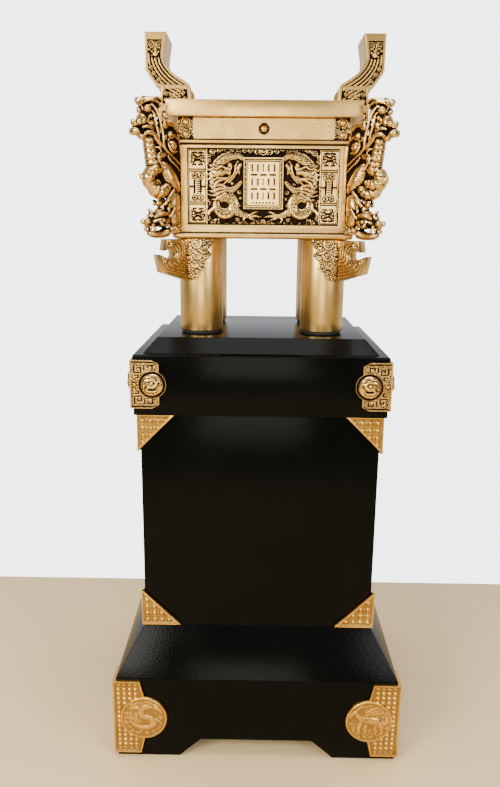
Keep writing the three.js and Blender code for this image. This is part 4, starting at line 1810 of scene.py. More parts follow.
@dataclass
class Panels:
    """The four relief panels: coiled dragons between border strips.

    Attributes:
        ground: Thickness of the plate that the relief lies on.
        wall: Level of the vessel's wall above the ground.
        strip: Width of a border strip.
        inset: The strip's distance from the panel's end.
        plaque: Half width of the plaque.
        plaque_low: Height of its lower edge.
        plaque_high: Height of its upper edge.
    """

    ground: float = 3.0
    wall: float = 4.7
    strip: float = 45.0
    inset: float = 2.0
    plaque: float = 47.0
    plaque_low: float = 1391.0
    plaque_high: float = 1509.0
    pitch: float = 1.5
    full_reach: float = 133.5

    def make(self) -> None:
        """Makes the four panels."""
        for turn, side in enumerate(SIDES):
            low, high = box_of(f"panel_{side}")
            long_side = turn % 2 == 0
            half = high[0] if long_side else high[1]
            relief = Relief.ruled([(low[2], -half, half), (high[2], -half, half)], self.pitch)
            self._chase(relief, half, low[2], high[2], long_side)
            wall = Vessel.body + (0 if long_side else Vessel.core) - self.wall
            panel = relief.raise_piece(f"dragon_panel_{side}", facing(turn, wall), -self.ground)
            dress(panel, RELIEF_BRONZE, f"panel_{side}")

    def _chase(self, relief: Relief, half: float, low: float, high: float, plaque: bool) -> None:
        """Chases a whole panel.

        Args:
            relief: The panel, flat.
            half: Its half width.
            low: Its lower edge.
            high: Its upper edge.
            plaque: True for the plaque, False for the boss.
        """
        reach = half - self.inset - self.strip
        relief.grain(0.25, 31)
        self._clouds(relief, reach, low, high)
        for hand in (-1, 1):
            Dragon(relief, hand, reach / self.full_reach).chase()
        relief.sink_below(1.9, 1.5)
        if plaque:
            self._plaque(relief)
        else:
            self._boss(relief, (self.plaque_low + self.plaque_high) / 2)
        for hand in (-1, 1):
            self._strip(relief, hand * (half - self.inset - self.strip / 2), low, high)
        edge = np.minimum(half - np.abs(relief.u), np.minimum(relief.v - low, high - relief.v))
        relief.h = np.where(edge < 1.5, np.minimum(relief.h, 2.4), relief.h)
        relief.floor = np.where(edge < 1.6, 0.9, relief.floor)

    def _clouds(self, relief: Relief, reach: float, low: float, high: float) -> None:
        """The scalloped clouds along the top and foot, and those between the dragons' coils."""
        share = reach / self.full_reach
        top = (
            (14, 8, 9, 90), (31, 6, 8, 0), (45, 5, 7, 180), (60, 3, 7, 90), (74, 4, 8, 30),
            (90, 3, 7, 200), (104, 6, 8, 90), (120, 9, 9, 0), (131, 20, 7, 270)
        )
        foot = (
            (10, 7, 8, 180), (25, 5, 7, 90), (40, 5, 7, 0), (55, 6, 7, 200), (70, 3, 6, 90),
            (88, 3, 6, 30), (106, 3, 6, 150), (121, 6, 8, 90), (131, 16, 7, 0)
        )
        between = (
            (128, 1408, 7, 90), (131, 1396, 6, 180), (56, 1430, 6, 90), (54, 1416, 5, 0), (60, 1499, 6, 90),
            (129, 1500, 7, 30), (132, 1450, 6, 90), (60, 1368, 7, 90), (74, 1449, 5, 0)
        )
        for hand in (-1, 1):
            for spots, level, way, wind, rise, base in (
                (top, high, -1, 1, 2.2, 2.4), (foot, low, 1, -1, 2.0, 2.2), (between, 0, 1, 1, 2.0, 2.2)
            ):
                for x, up, radius, start in spots:
                    spot = (x * hand * share, level + way * up)
                    relief.swirl(spot, radius * share, rise, base, start, wind * hand)
        relief.swirl((0, high - 7), 11 * share, 2.6, 2.8, 90, 1)
        relief.swirl((0, low + 8), 8 * share, 2.2, 2.4, 90, 1)

    def _plaque(self, relief: Relief) -> None:
        """The polished plaque, with a double border and rows of short strokes."""
        half, low, high = self.plaque, self.plaque_low, self.plaque_high
        inside = (np.abs(relief.u) < half) & (relief.v > low) & (relief.v < high)
        relief.floor[inside] = 0
        relief.slab((-half, low), (half, high), self.wall + 4.0)
        relief.frame_line((4 - half, low + 4), (half - 4, high - 4), 1.0, 0.7)
        relief.frame_line((8 - half, low + 8), (half - 8, high - 8), 0.8, 0.5)
        for z, count, pitch, wide, tall in (
            (1486, 5, 13, 0, 6.5), (1470, 3, 22, 6.5, 0), (1454, 5, 13, 0, 6.5), (1438, 3, 22, 6.5, 0),
            (1422, 5, 13, 0, 6.5), (1406, 7, 8, 0.4, 0)
        ):
            for i in range(count):
                x = (i - (count - 1) / 2) * pitch
                relief.groove([(x - wide, z - tall), (x + wide, z + tall)], 1.4, 0.8)

    def _boss(self, relief: Relief, z: float) -> None:
        """The round boss that a short side has in the plaque's place."""
        inside = np.hypot(relief.u, relief.v - z) < 22
        relief.floor[inside] = 0
        relief.dome((0, z), 22, 5.0, 3.0)
        relief.dome((0, z), 14, 12.0)
        relief.ring((0, z), 17, 1.4, -1.6)
        for i in range(12):
            angle = i * math.pi / 6
            relief.dome((19.2 * math.cos(angle), z + 19.2 * math.sin(angle)), 2, 7.5)

    def _strip(self, relief: Relief, x: float, low: float, high: float) -> None:
        """One border strip: masks above and below, rings and a cross bar between.

        Args:
            relief: The panel.
            x: Middle of the strip.
            low: The panel's lower edge.
            high: The panel's upper edge.
        """
        half = self.strip / 2
        middle = (low + high) / 2
        inside = np.abs(relief.u - x) < half
        relief.floor[inside] = 0
        relief.slab((x - half, low + 2), (x + half, high - 2), self.wall + 0.4)
        relief.frame_line((x - half + 3, low + 5), (x + half - 3, high - 5), 0.9, 0.8)
        for way in (-1, 1):
            for lift in (35, 40):
                z = middle + way * lift
                relief.groove([(x - half + 4, z), (x + half - 4, z)], 0.9, 1.0)
            self._mask(relief, x, middle + way * 63, way)
            for hand in (-1, 1):
                spot = (x + hand * 7.2, middle + way * 25)
                relief.ring(spot, 4.2, 1.5, 1.6)
                relief.ring(spot, 6.4, 1.1, -0.7)
        for hand in (-1, 1):
            relief.groove([(x + hand * 7.5, middle - 14), (x + hand * 7.5, middle + 14)], 2.3, 2.8)
            relief.groove([(x + hand * 7.5, middle), (x + hand * 18, middle)], 2.0, 2.8)
        for step in range(-3, 4):
            relief.ring((x, middle + step * 4.4), 1.4, 1.1, 1.2)
            relief.groove(
                [(x - 3.6, middle + step * 4.4 + 2.2), (x + 3.6, middle + step * 4.4 + 2.2)], 0.7, 0.8
            )

    def _mask(self, relief: Relief, x: float, z: float, way: int) -> None:
        """A small beast mask in grooves, symmetrical about the strip's middle."""
        for hand in (-1, 1):

            def at(*points: Point) -> list[Point]:
                """Places points of one half of the mask."""
                return [(x + a * hand, z + b * way) for a, b in points]

            relief.groove(at((0, 4), (5, 5), (9, 10)), 2.2, 2.4)
            relief.groove(at((0, -2), (6, -3), (10, -8)), 2.2, 2.4)
            relief.groove(at((9, 1), (15, 1), (15, 7), (11, 7)), 1.4, 1.8)
            relief.groove(at((13, -3), (16, -8)), 1.3, 1.8)
            relief.groove(at((3, -12), (13, -12)), 1.2, 1.5)
            relief.groove(at((2, 13), (8, 14), (14, 12)), 1.3, 1.6)
            relief.ring((x + 5.5 * hand, z + 1 * way), 2.4, 1.2, 1.8)
        relief.dome((x, z + way), 2.4, 3, self.wall)


class Dragon(Beast):
    """The coiled dragon of one half of a panel, narrower on the short sides."""

    def chase(self) -> None:
        """Chases the whole dragon."""
        self._body()
        self._head()
        self._limbs()
        self._flames()

    def _body(self) -> None:
        """The arched neck and the coil."""
        coil = [(91 + 21 * math.cos(a), 1400 + 20 * math.sin(a)) for a in np.radians(range(40, 401, 30))]
        girth = (11, 12, 13, 13.5, 13.5, 13.5, 13.5, 13.5, 13, 12, 11, 9, 6)
        self.bar(coil, girth, 0.5, base=3.0, hide=Hide.SCALES)
        self.bar([(118, 1448), (114, 1436), (106, 1424)], (8, 10, 11), 0.5, base=3.0, hide=Hide.SCALES)
        under = [(91 + 25 * math.cos(a), 1400 + 27 * math.sin(a)) for a in np.radians(range(205, 345, 25))]
        self.bar(under, (3, 6, 6, 6, 6, 3), 0.8, base=6.5, hide=Hide.RIBS)
        neck = [(49, 1507), (62, 1512), (78, 1511), (94, 1503), (108, 1490), (119, 1470), (121, 1450)]
        self.bar(neck, (6, 8.5, 10, 10.5, 10.5, 10, 8), 0.5, base=3.5, hide=Hide.SCALES)
        back = [(54, 1520), (70, 1522), (86, 1519), (102, 1512), (116, 1499), (128, 1480)]
        self.bar(back, (2, 3, 3, 3, 3, 2), 1.0, base=3.5, hide=Hide.RIBS)
        self.bar([(113, 1396), (127, 1386), (130, 1374), (120, 1366)], (6, 5, 4, 2), 0.8, base=3)

    def _head(self) -> None:
        """The head, its jaws, whiskers and mane."""
        self.relief.dome(self.at(80, 1491), 6.5 * (0.4 + 0.6 * self.pinch), 7, 3.0)
        mane = (
            [(104, 1483), (114, 1491), (126, 1490), (133, 1497)],
            [(106, 1480), (118, 1484), (129, 1480), (135, 1486)],
            [(108, 1474), (120, 1476), (130, 1470), (135, 1474)],
            [(108, 1468), (120, 1467), (129, 1459), (134, 1461)],
            [(106, 1462), (116, 1459), (125, 1450), (132, 1446)],
            [(102, 1457), (110, 1453), (116, 1444), (124, 1438)]
        )
        for number, lock in enumerate(mane):
            self.bar(lock, (4.2, 3.8, 3.0, 1.2), 0.9, base=5.0 + (number % 2) * 1.2)
        self.bar([(112, 1474), (101, 1475), (91, 1477), (82, 1475)], (9, 10, 8, 5.5), 0.7, base=4.5)
        self.bar([(89, 1483), (80, 1482), (76, 1487)], (4, 4.4, 2.4), 1.0, base=6)
        self.bar([(108, 1463), (96, 1460), (86, 1461), (79, 1467)], (5, 4.4, 3.8, 2), 0.9, base=5)
        self.bar([(93, 1486), (101, 1488), (109, 1483)], (2.4, 3.4, 2.2), 1.1, base=8)
        self.relief.dome(self.at(99, 1480), 3.4, 15)
        self.bar(
            [(61, 1500), (66, 1490), (68, 1477), (76, 1464), (88, 1454), (99, 1444)], (2.4,) * 6, 1.1,
            base=5
        )
        self.bar([(57, 1482), (64, 1474), (72, 1462), (84, 1450)], (1.8, 2.2, 2.2, 1.6), 1.1, base=4)
        self.curl(62, 1499, 5, 2.2, 120)
        self.curl(57, 1484, 4.5, 2.2, 300)

    def _limbs(self) -> None:
        """The fore leg with its claws and the hind leg that reaches under the plaque."""
        fore = [(54, 1452), (64, 1442), (78, 1434), (94, 1438)]
        self.bar(fore, (5, 6.5, 8, 8), 0.6, base=3.5, hide=Hide.SCALES)
        for claw in (
            [(92, 1443), (106, 1446), (118, 1442), (128, 1444)],
            [(92, 1438), (108, 1437), (120, 1431), (131, 1434)],
            [(92, 1433), (106, 1428), (118, 1422), (131, 1424)],
            [(90, 1428), (102, 1420), (114, 1413), (127, 1413)]
        ):
            self.bar(claw, (4.2, 3.8, 3.0, 1.4), 0.9, base=5.5)
        hind = [(74, 1390), (62, 1384), (48, 1378), (28, 1374)]
        self.bar(hind, (12, 10, 7, 5), 0.55, base=3, hide=Hide.SCALES)
        for claw in (
            [(32, 1377), (22, 1383), (11, 1386)], [(30, 1374), (17, 1375), (5, 1373)],
            [(30, 1370), (18, 1365), (7, 1362)], [(42, 1373), (46, 1365), (38, 1358)]
        ):
            self.bar(claw, (3.6, 3.0, 1.2), 0.9, base=4)
        self.bar([(55, 1492), (60, 1483), (57, 1472)], (5, 5, 2.4), 0.9, base=4)

    def _flames(self) -> None:
        """Curls of flame along the coils."""
        for x, z, radius, start in (
            (127, 1402, 6, 60), (72, 1424, 5, 200), (58, 1398, 5, 300), (112, 1366, 6, 140)
        ):
            self.curl(x, z, radius, 2.2, start)


# ---- handles


@dataclass
class Handles:
    """The two upright handles that sweep out above the rim.

    Heights of their outline are taken from the vessel's rim.

    Attributes:
        half_depth: From the middle to the outer face of a post.
        post: Thickness of a post.
        crown: Height of the way through, above the rim.
        corner: Radius of its upper corners.
        border: Width of the plain edge round the chased field.
        sink: Depth of the field.
        edge: How far the long edges are eased.
        inner: (height, how far out) up the inner side.
        outer: The same up the outer side.
    """

    half_depth: float = 63.0
    post: float = 28.0
    crown: float = 101.0
    corner: float = 12.0
    border: float = 8.0
    sink: float = 3.2
    edge: float = 1.6
    inner: tuple[Point, ...] = (
        (0.3, 179.5), (46, 179.5), (51, 182), (56, 187), (61, 195), (66, 204), (72, 213.5), (79, 222.5),
        (86, 229.5), (94, 236), (103, 241), (112, 243.5), (124, 243), (145, 240), (168, 236)
    )
    outer: tuple[Point, ...] = (
        (0.3, 254), (18, 254), (45, 250), (48, 264), (60, 272.5), (72, 281), (84, 288), (168, 288)
    )

    def make(self) -> None:
        """Makes the right handle and turns a copy of it for the left."""
        low, _ = box_of("handle_right")
        rim = box_of("vessel_body")[1][2]
        posts = [self._post(rim, way) for way in (-1, 1)]
        feet = [self._foot(rim, low[2], way) for way in (-1, 1)]
        pattern = join("handle_pattern", *posts, *feet, self._bridge(rim), *self._gussets(rim))
        for side, turn in (("right", 0), ("left", 2)):
            copy = turned_copy(pattern, f"flared_handle_{side}", quarter_turn(turn))
            dress(copy, HANDLE_BRONZE, f"handle_{side}")
        bpy.data.objects.remove(pattern)

    def _rows(self, rim: float, low: float) -> list[Point]:
        """Rows of the outline from a height above the rim to the top."""
        heights = sorted({up for up, _ in self.inner + self.outer if up > low} | {low})
        left = np.interp(heights, *zip(*self.inner))
        right = np.interp(heights, *zip(*self.outer))
        return [(rim + up, float(a), float(b)) for up, a, b in zip(heights, left, right)]

    def _post(self, rim: float, way: int) -> Piece:
        """One post with its chased outer face; way is -1 for the front one."""
        rows = self._rows(rim, 0.3)
        relief = Relief.ruled(rows, 1.3)
        up = relief.v - rim
        outline = np.array([(x, v) for v, x, _ in rows] + [(x, v) for v, _, x in rows[::-1]])
        dense = np.vstack([np.linspace(a, b, 40) for a, b in zip(outline, outline[1:])])
        mask, far, _, _ = relief.near(dense, 14)
        edge = np.full(relief.h.shape, 14.0)
        edge[mask] = np.minimum(far, 14)
        upper = (edge > self.border) & (up < 150) & (up > 50)
        lower = (edge > self.border) & (up < 41) & (up > 7)
        relief.h = np.where(upper | lower, -self.sink, 0.0)
        self._ridges(relief, rim, -self.sink)
        self._head(relief, rim, -self.sink)
        self._scrolls(relief, rim, -self.sink)
        relief.h = np.where(upper | lower, np.minimum(relief.h, 0.8), 0.0)
        relief.floor = np.where(upper | lower, relief.floor, 0)
        relief.sink_below(-1.6, 0.6)
        seam = (edge > self.border - 1.3) & (edge <= self.border) & (up < 150)
        relief.floor = np.where(seam, 0.8, relief.floor)
        relief.ease_rim(edge, self.edge)
        return relief.raise_piece("handle_post", across_y(way, self.half_depth), -self.post, across=True)

    def _ridges(self, relief: Relief, rim: float, base: float) -> None:
        """The ridges that follow the inner side's sweep."""
        table = np.array([(x, rim + up) for up, x in self.inner if 44 < up < 146])
        line = rounded(table, 2.0)
        tangent = np.gradient(line, axis=0)
        tangent /= np.linalg.norm(tangent, axis=1)[:, None]
        aside = np.stack([tangent[:, 1], -tangent[:, 0]], axis=1)
        for number in range(5):
            route = line + aside * (self.border + 4 + number * 7.8)
            relief.bar(route[: len(route) - 18 + number], (2.6, 2.6), 1.6, base + 0.3)

    def _head(self, relief: Relief, rim: float, base: float) -> None:
        """The small beast's head at the top of the field."""
        z = rim + 132
        relief.dome((263, z), 19, 1.6, base + 0.4)
        for hand in (-1, 1):
            start = 90 - 150 * hand
            relief.swirl((263 + 10 * hand, z + 8), 9.5, 1.2, base + 1.6, start, hand, 1.6)
            relief.bar([(263 + 4 * hand, z + 1), (263 + 15 * hand, z - 3)], (2.4, 3.2), 0.8, base + 1.6)
            relief.ring((263 + 8 * hand, z - 8), 4.4, 1.6, -1.8)
            relief.dome((263 + 8 * hand, z - 8), 3.0, 2.6, base + 1.0)
        relief.dome((263, z - 13), 6, 2.4, base + 1.4)
        relief.groove([(252, z - 19), (258, z - 20), (268, z - 20), (274, z - 19)], 1.6, 2.0)

    def _scrolls(self, relief: Relief, rim: float, base: float) -> None:
        """Curls down the outer side and in the lower field."""
        for x, up, radius, start in (
            (275, 88, 6, 0), (268, 75, 6.5, 200), (257, 62, 6.5, 90), (194, 18, 6, 0), (197, 31, 6, 180),
            (240, 17, 6, 0), (238, 31, 6.5, 90)
        ):
            relief.swirl((x, rim + up), radius, 1.9, base + 1.4, start, 1 if up % 2 else -1)
        for drop in (0, 6, 12, 18):
            sweep = [(204, 37 - drop), (218, 36 - drop), (230, 33 - drop)]
            relief.bar([(x, rim + z) for x, z in sweep], (2.2, 2.4, 1.8), 1.1, base + 0.3)

    def _foot(self, rim: float, low: float, way: int) -> Piece:
        """The part of a post that hangs outside the rim."""
        rows = [(low, 225.8, 243.0), (low + 11, 225.8, 254.0), (rim + 0.3, 225.8, 254.0)]
        relief = Relief.ruled(rows, 1.6)
        hook = [
            (230, rim - 5), (230, rim - 27), (242, rim - 27), (247, rim - 20), (247, rim - 12),
            (238, rim - 12)
        ]
        relief.groove(hook, 1.3, 1.4)
        return relief.raise_piece("handle_foot", across_y(way, self.half_depth), -self.post, across=True)

    def _bridge(self, rim: float) -> Piece:
        """The plain bar over the way through."""
        relief = Relief.ruled(self._rows(rim, self.crown), 3.0)
        half = self.half_depth - self.post + 0.3
        return relief.raise_piece("handle_bridge", across_y(-1, half), -2 * half, across=True)

    def _gussets(self, rim: float) -> list[Piece]:
        """The two rounded corners of the way through."""
        half = self.half_depth - self.post + 0.2
        top = rim + self.crown + 0.4
        gussets = []
        for hand in (-1, 1):
            middle = (half - self.corner, top - self.corner)
            bow = [
                (middle[0] + self.corner * math.cos(a), middle[1] + self.corner * math.sin(a))
                for a in np.linspace(0, math.pi / 2, 7)
            ]
            outline = [(x * hand, z) for x, z in [*bow, (half, top)]]
            gusset = cut_plate("gusset", outline, -286.0, -241.0)
            gusset.data.transform(quarter_turn(1))
            gussets.append(gusset)
        return gussets


# ---- legs


@dataclass
class Legs:
    """The round legs, their foot pads and the beast jaws that clasp them."""

    axis: Point = (151.5, 104.3)
    radius: float = 54.0
    wing: float = 6.0
    jaw: float = 13.5
    skirt: float = 4.5
    pad: float = 49.0
    most_ridges: int = 13000

    def make(self) -> None:
        """Makes a leg, a pad and a bracket, and places them at the corners."""
        low, high = box_of("leg_front_right")
        pad_low, pad_high = box_of("foot_pad_front_right")
        leg = turned_bar("leg_pattern", self.radius, low[2] - self.skirt, high[2], 96, 2.2)
        pad = turned_bar("pad_pattern", self.pad, pad_low[2], pad_high[2], 64, 1.5)
        for corner, placing in corner_places(self.axis).items():
            dress(turned_copy(leg, f"round_leg_{corner}", placing), SATIN_BRONZE, f"leg_{corner}")
            dress(turned_copy(pad, f"rubber_pad_{corner}", placing), RUBBER, f"foot_pad_{corner}")
        for piece in (leg, pad):
            bpy.data.objects.remove(piece)
        bracket = self._bracket(box_of("leg_bracket_front_right")[1][2])
        outwards = corner_places(self.axis, -45)
        place_copies(bracket, "jaw_bracket", "leg_bracket", RELIEF_BRONZE, outwards)

    def _bracket(self, top: float) -> Piece:
        """One bracket about its leg's axis, reaching out along +X."""
        bracket = join("bracket_pattern", *self._jaw(top), self._wings(top))
        # Painted shade: darkens the bracket where its jaw and wings shut each point in.
        paint_occlusion_shade(bracket, 12)
        # Keeps 0.7 of the bracket's patina and painted shade.
        fade_patina_and_shade(bracket, 0.7)
        return bracket

    def _jaw(self, top: float) -> list[Piece]:
        """The open jaw: a crisp plate with a border, and the ridges cast on both its sides."""
        outline = [
            (50, -98), (61, -98), (129, -78), (139, -36), (122, -43), (104, -47), (96, -45), (92.5, -38),
            (94, -29), (101, -24), (113, -24), (121, -28), (116, -1), (50, -1)
        ]
        plate = cut_plate("jaw_plate", [(x, top + z) for x, z in outline], -self.jaw, self.jaw)
        modify(plate, "TRIANGULATE")
        ease_edges(plate, 1.0, 2, 40)
        plate.data.attributes.new("hollow", "FLOAT", "POINT")
        strands = (
            ([(60, -92), (92, -84), (122, -74), (131, -42)], (2, 2, 2, 2)),
            ([(60, -85), (90, -77), (112, -69), (122, -60), (125, -49)], (2.8,) * 5),
            ([(60, -77), (88, -70), (106, -62), (114, -53)], (2.8, 2.8, 2.8, 2)),
            ([(60, -69), (84, -63), (98, -56)], (2.8, 2.8, 2)),
            ([(58, -60), (78, -56), (86, -46), (86, -30), (96, -18), (113, -17)], (3, 3, 3, 3, 3, 2)),
            ([(57, -52), (73, -48), (79, -40), (79, -28), (88, -13), (108, -11)], (2.8,) * 6),
            ([(56, -44), (68, -41), (72, -34), (72, -24), (78, -11), (94, -6), (112, -5)], (2.8,) * 7),
            ([(66, -34), (65, -24), (68, -12), (74, -5)], (2.6, 2.6, 2.6, 2)),
            (spiral((60, -30), 5.5, 1.2, 0), (2.2, 2.0, 1.6)),
            (spiral((60, -14), 6, 1.2, 90), (2.2, 2.0, 1.6)),
            (spiral((106, -60), 5, 1.1, 180), (2.2, 2.0, 1.6))
        )
        parts: list[Piece] = []
        for y in (-self.jaw - 0.2, self.jaw + 0.2):
            for points, girth in strands:
                parts.append(Limb([(x, y, top + z) for x, z in points], girth, blunt=False).make())
            for x, z, size in ((106, -60, 2.6), (60, -14, 2.8), (103, -14.5, 3.4)):
                parts.append(ball((x, y, top + z), size))
        ridges = cast_as_one("jaw_ridges", parts, 1.0, self.most_ridges, whole=False)
        return [plate, ridges]

    def _wings(self, top: float) -> Piece:
        """The scalloped plate that wraps the leg on both sides of the jaw."""
        edge = [
            (-98.5, 24), (-92, 3), (-78, -5), (-74, -9), (-66, -17), (-55, -12), (-50, -18), (-38, -29),
            (-27, -23), (-20, -27), (-8, -34), (-1, -31)
        ]
        radius = self.radius + 0.4
        reach = radius + self.wing
        rows = []
        for z, across in edge:
            arc = reach * (math.pi / 4 + math.asin(-across / reach))
            rows.append((top + z, -arc, arc))
        relief = Relief.ruled(rows, 1.5, smooth=True)
        for hand in (-1, 1):
            for u, z, size, start in (
                (22, -92, 12, 90), (40, -80, 13, 300), (20, -70, 13, 200), (53, -63, 12, 60),
                (36, -56, 15, 330), (18, -46, 13, 90), (62, -44, 14, 180), (42, -36, 15, 20),
                (76, -32, 11, 120), (22, -24, 15, 90), (58, -20, 16, 300), (80, -12, 12, 200),
                (40, -10, 15, 40), (66, -4, 11, 180)
            ):
                start = start if hand > 0 else 180 - start
                relief.swirl((u * hand, top + z), size, 1.5, 0.6, start, hand, 1.9)
        width = np.interp(relief.v, [r[0] for r in rows], [r[2] for r in rows])
        relief.h = np.where(width - np.abs(relief.u) < 2.4, 1.2, relief.h)
        relief.sink_below(0.2, 0.9, 0.6)

        def wrap(u: Array, v: Array, h: Array) -> Array:
            """Bends the field round the leg."""
            turn = u / reach
            out = reach - 2.0 + h
            return np.stack([out * np.cos(turn), out * np.sin(turn), v], axis=-1)

        return relief.raise_piece("bracket_wings", wrap, 2.0 - self.wing, across=True)


# ---- corner dragons


@dataclass
class CornerDragons:
    """The openwork pair of dragons at each corner, one above the other.

    Routes are (out from the corner, aside, height), or (out, height) down the middle.
    """

    corner: Point = (195.5, 148.0)
    grain: float = 1.25
    most: int = 44000
    parts: list[Piece] = field(default_factory=list)

    def make(self) -> None:
        """Casts one corner and places copies at the others."""
        self._upper_body()
        self._upper_head()
        self._clouds()
        self._lower_body()
        self._lower_head()
        pattern = cast_as_one("dragon_pattern", self.parts, self.grain, self.most)
        # Painted shade: darkens the dragons where the openwork shuts each point in.
        paint_occlusion_shade(pattern)
        outwards = corner_places(self.corner, -45)
        place_copies(pattern, "openwork_dragon", "corner_dragon", RELIEF_BRONZE, outwards)

    def _limb(self, route: Points, girth: Numbers, *style: object, **more: object) -> None:
        """Adds a limb, given as Limb takes it."""
        route = [(point[0], 0, point[-1]) if len(point) == 2 else point for point in route]
        self.parts.append(Limb(route, girth, *style, **more).make())

    def _pair(self, route: Points, girth: Numbers) -> None:
        """Adds a limb and its twin on the other side."""
        for side in (-1, 1):
            self._limb([(out, y * side, z) for out, y, z in route], girth, blunt=False)

    def _beads(self, *beads: Point) -> None:
        """Adds beads and their twins on the other side: out, aside, height, radius."""
        for side in (-1, 1):
            for out, aside, z, radius in beads:
                self.parts.append(ball((out, aside * side, z), radius))

    def _curls(self, spots: Points) -> None:
        """Adds pairs of curls with a bead in each: out, aside, height, radius, girth, start."""
        for out, aside, z, radius, girth, start in spots:
            flat = spiral((out, z), radius, 1.3, start)
            self._pair([(x, aside, up) for x, up in flat], (girth, girth * 0.9, girth * 0.6))
            self._beads((out, aside, z, girth * 1.5))

    def _web(self) -> None:
        """The thin backing that holds the openwork together."""
        for route, girth in (
            ([(108, 1611), (97, 1603), (86, 1582), (82, 1556), (80, 1530)], (8, 13, 16, 15, 12)),
            ([(110, 1566), (124, 1556)], (11, 11)), ([(72, 1474), (66, 1456)], (15, 16)),
            ([(50, 1580), (44, 1550), (50, 1520), (44, 1490)], (14, 24, 30, 26)),
            ([(16, 1570), (16, 1500), (20, 1440), (26, 1400)], (14, 22, 24, 20)),
            ([(74, 1452), (60, 1436), (56, 1412)], (18, 22, 14)), ([(50, 1404), (52, 1384)], (18, 18))
        ):
            self._limb(route, girth, Hide.LOCKS, 0.3)

    def _upper_body(self) -> None:
        """The ribbed neck, the coil, and the scaled haunch."""
        self._web()
        neck = [(84, 1592), (91, 1564), (93, 1538), (88, 1510), (82, 1484), (80, 1464)]
        self._limb(neck, (12, 12, 12, 13.5, 15.5, 16), Hide.RIBS, 1.15)
        knot = [(66, 3, 1476), (86, 6, 1474), (99, 4, 1460), (92, 1446), (74, -2, 1446), (60, -2, 1454)]
        self._limb(knot, (10, 13, 14.5, 14.5, 13, 9), Hide.RIBS, 1.2)
        coil = [(94, 3, 1444), (84, 4, 1432), (68, 4, 1427), (52, 2, 1436), (44, 1450)]
        self._limb(coil, (9, 14, 16, 14, 10), Hide.RIBS, 1.2)
        self._limb([(100, 1457), (112, 1457), (120, 1465)], (8, 6, 2.5), blunt=False)
        self._limb([(90, 1512), (66, 1510), (42, 1514), (18, 1524)], (11, 11, 11, 9), Hide.SCALES)
        haunch = [(60, 1496), (51, 1482), (39, 1461), (24, 1441), (10, 1426)]
        self._limb(haunch, (8, 17, 20, 17, 8), Hide.SCALES, 1.0)
        twist = [
            (84, 15, 1524), (75, 17, 1522), (72, 17, 1513), (79, 18, 1507), (79, 18, 1499), (73, 18, 1490),
            (66, 16, 1478)
        ]
        self._pair(twist, (2, 3.2, 3.2, 3.2, 3.4, 3.4, 2.4))
        self._limb([(12, 1560), (7, 1510), (6, 1450), (8, 1400)], (7, 7, 7, 7))
        self._pair([(30, 12, 1434), (42, 14, 1420), (53, 14, 1407), (60, 12, 1396)], (3, 5.2, 5.4, 3))

    def _upper_head(self) -> None:
        """The upper head with its brow, nose, open mouth, crest and mane."""
        self._limb([(62, 1600), (82, 1600), (97, 1590), (102, 1570)], (12, 14, 13, 11), Hide.LOCKS)
        crest = [(118, 1610), (106, 1619), (90, 1623), (74, 1619), (62, 1610)]
        self._limb(crest, (4, 7, 9, 8, 6), Hide.LOCKS, 1.9)
        self._pair([(108, 9, 1614), (117, 11, 1618), (115, 12, 1626), (106, 12, 1628)], (3, 3.4, 3, 1.5))
        self._pair([(92, 12, 1624), (80, 14, 1629), (68, 13, 1627), (62, 12, 1620)], (2.4, 3.6, 3.4, 1.5))
        self._beads((104, 14, 1603, 8.5), (96, 15, 1588, 4.6), (125, 11, 1573, 6.5))
        self._limb([(108, 1594), (112, 1580), (112, 1565)], (8, 10.5, 9.5), Hide.SMOOTH, 1.45)
        self._limb([(121, 1569), (130, 1571), (137, 1580)], (8, 7, 3), Hide.SMOOTH, 1.4, False)
        self._limb([(124, 1560), (130, 1553), (130, 1545)], (9, 12, 11), Hide.SMOOTH, 1.5)
        self._limb([(92, 1552), (106, 1548), (120, 1544)], (9, 8, 8), Hide.LOCKS, 1.3)
        self._pair([(121, 15, 1562), (108, 17, 1565), (97, 17, 1562), (91, 17, 1553)], (2.2, 3.4, 3.4, 2))
        whisker = [
            (116, 14, 1547), (106, 17, 1553), (92, 18, 1550), (81, 18, 1539), (71, 17, 1529), (62, 15, 1524)
        ]
        self._pair(whisker, (3, 4.8, 5, 5, 4.2, 2.4))
        long = [
            (101, 12, 1608), (92, 15, 1612), (84, 18, 1603), (76, 20, 1587), (72, 20, 1571),
            (67, 20, 1554), (65, 20, 1537), (60, 18, 1523), (43, 14, 1511), (25, 10, 1501), (6, 5, 1490)
        ]
        self._pair(long, (2, 2.8, 3, 3, 3, 3, 3, 3, 2.6, 2.4, 2))
        short = [
            (97, 14, 1602), (89, 18, 1594), (87, 20, 1580), (83, 20, 1564), (79, 20, 1548), (77, 19, 1534)
        ]
        self._pair(short, (2, 2.6, 2.8, 2.8, 2.6, 2))
        inner = [(50, 14, 1508), (38, 13, 1496), (22, 10, 1486), (8, 6, 1474)]
        self._pair(inner, (2, 2.6, 2.6, 2))

    def _clouds(self) -> None:
        """Curls of cloud between the head and the vessel's neck."""
        self._curls(
            (
                (54, 10, 1574, 9, 3.4, 60), (36, 10, 1555, 8, 3.2, 200), (54, 9, 1548, 6, 2.6, 120),
                (70, 12, 1504, 5, 2.4, 200), (74, 9, 1402, 7, 2.6, 40)
            )
        )
        self.parts.append(ball((31, 0, 1531), 14, 1.2))
        self._pair([(44, 13, 1546), (47, 14, 1532), (38, 16, 1518), (22, 15, 1518)], (2.4, 3.4, 3.4, 2))
        self._limb([(10, 1562), (30, 1576), (50, 1574), (64, 1590)], (5, 7, 7, 7))
        self._limb([(8, 1540), (24, 1552), (44, 1556), (60, 1552)], (6, 8, 7, 5))
        self._limb([(30, 1520), (54, 1530), (78, 1530)], (8, 7, 6))

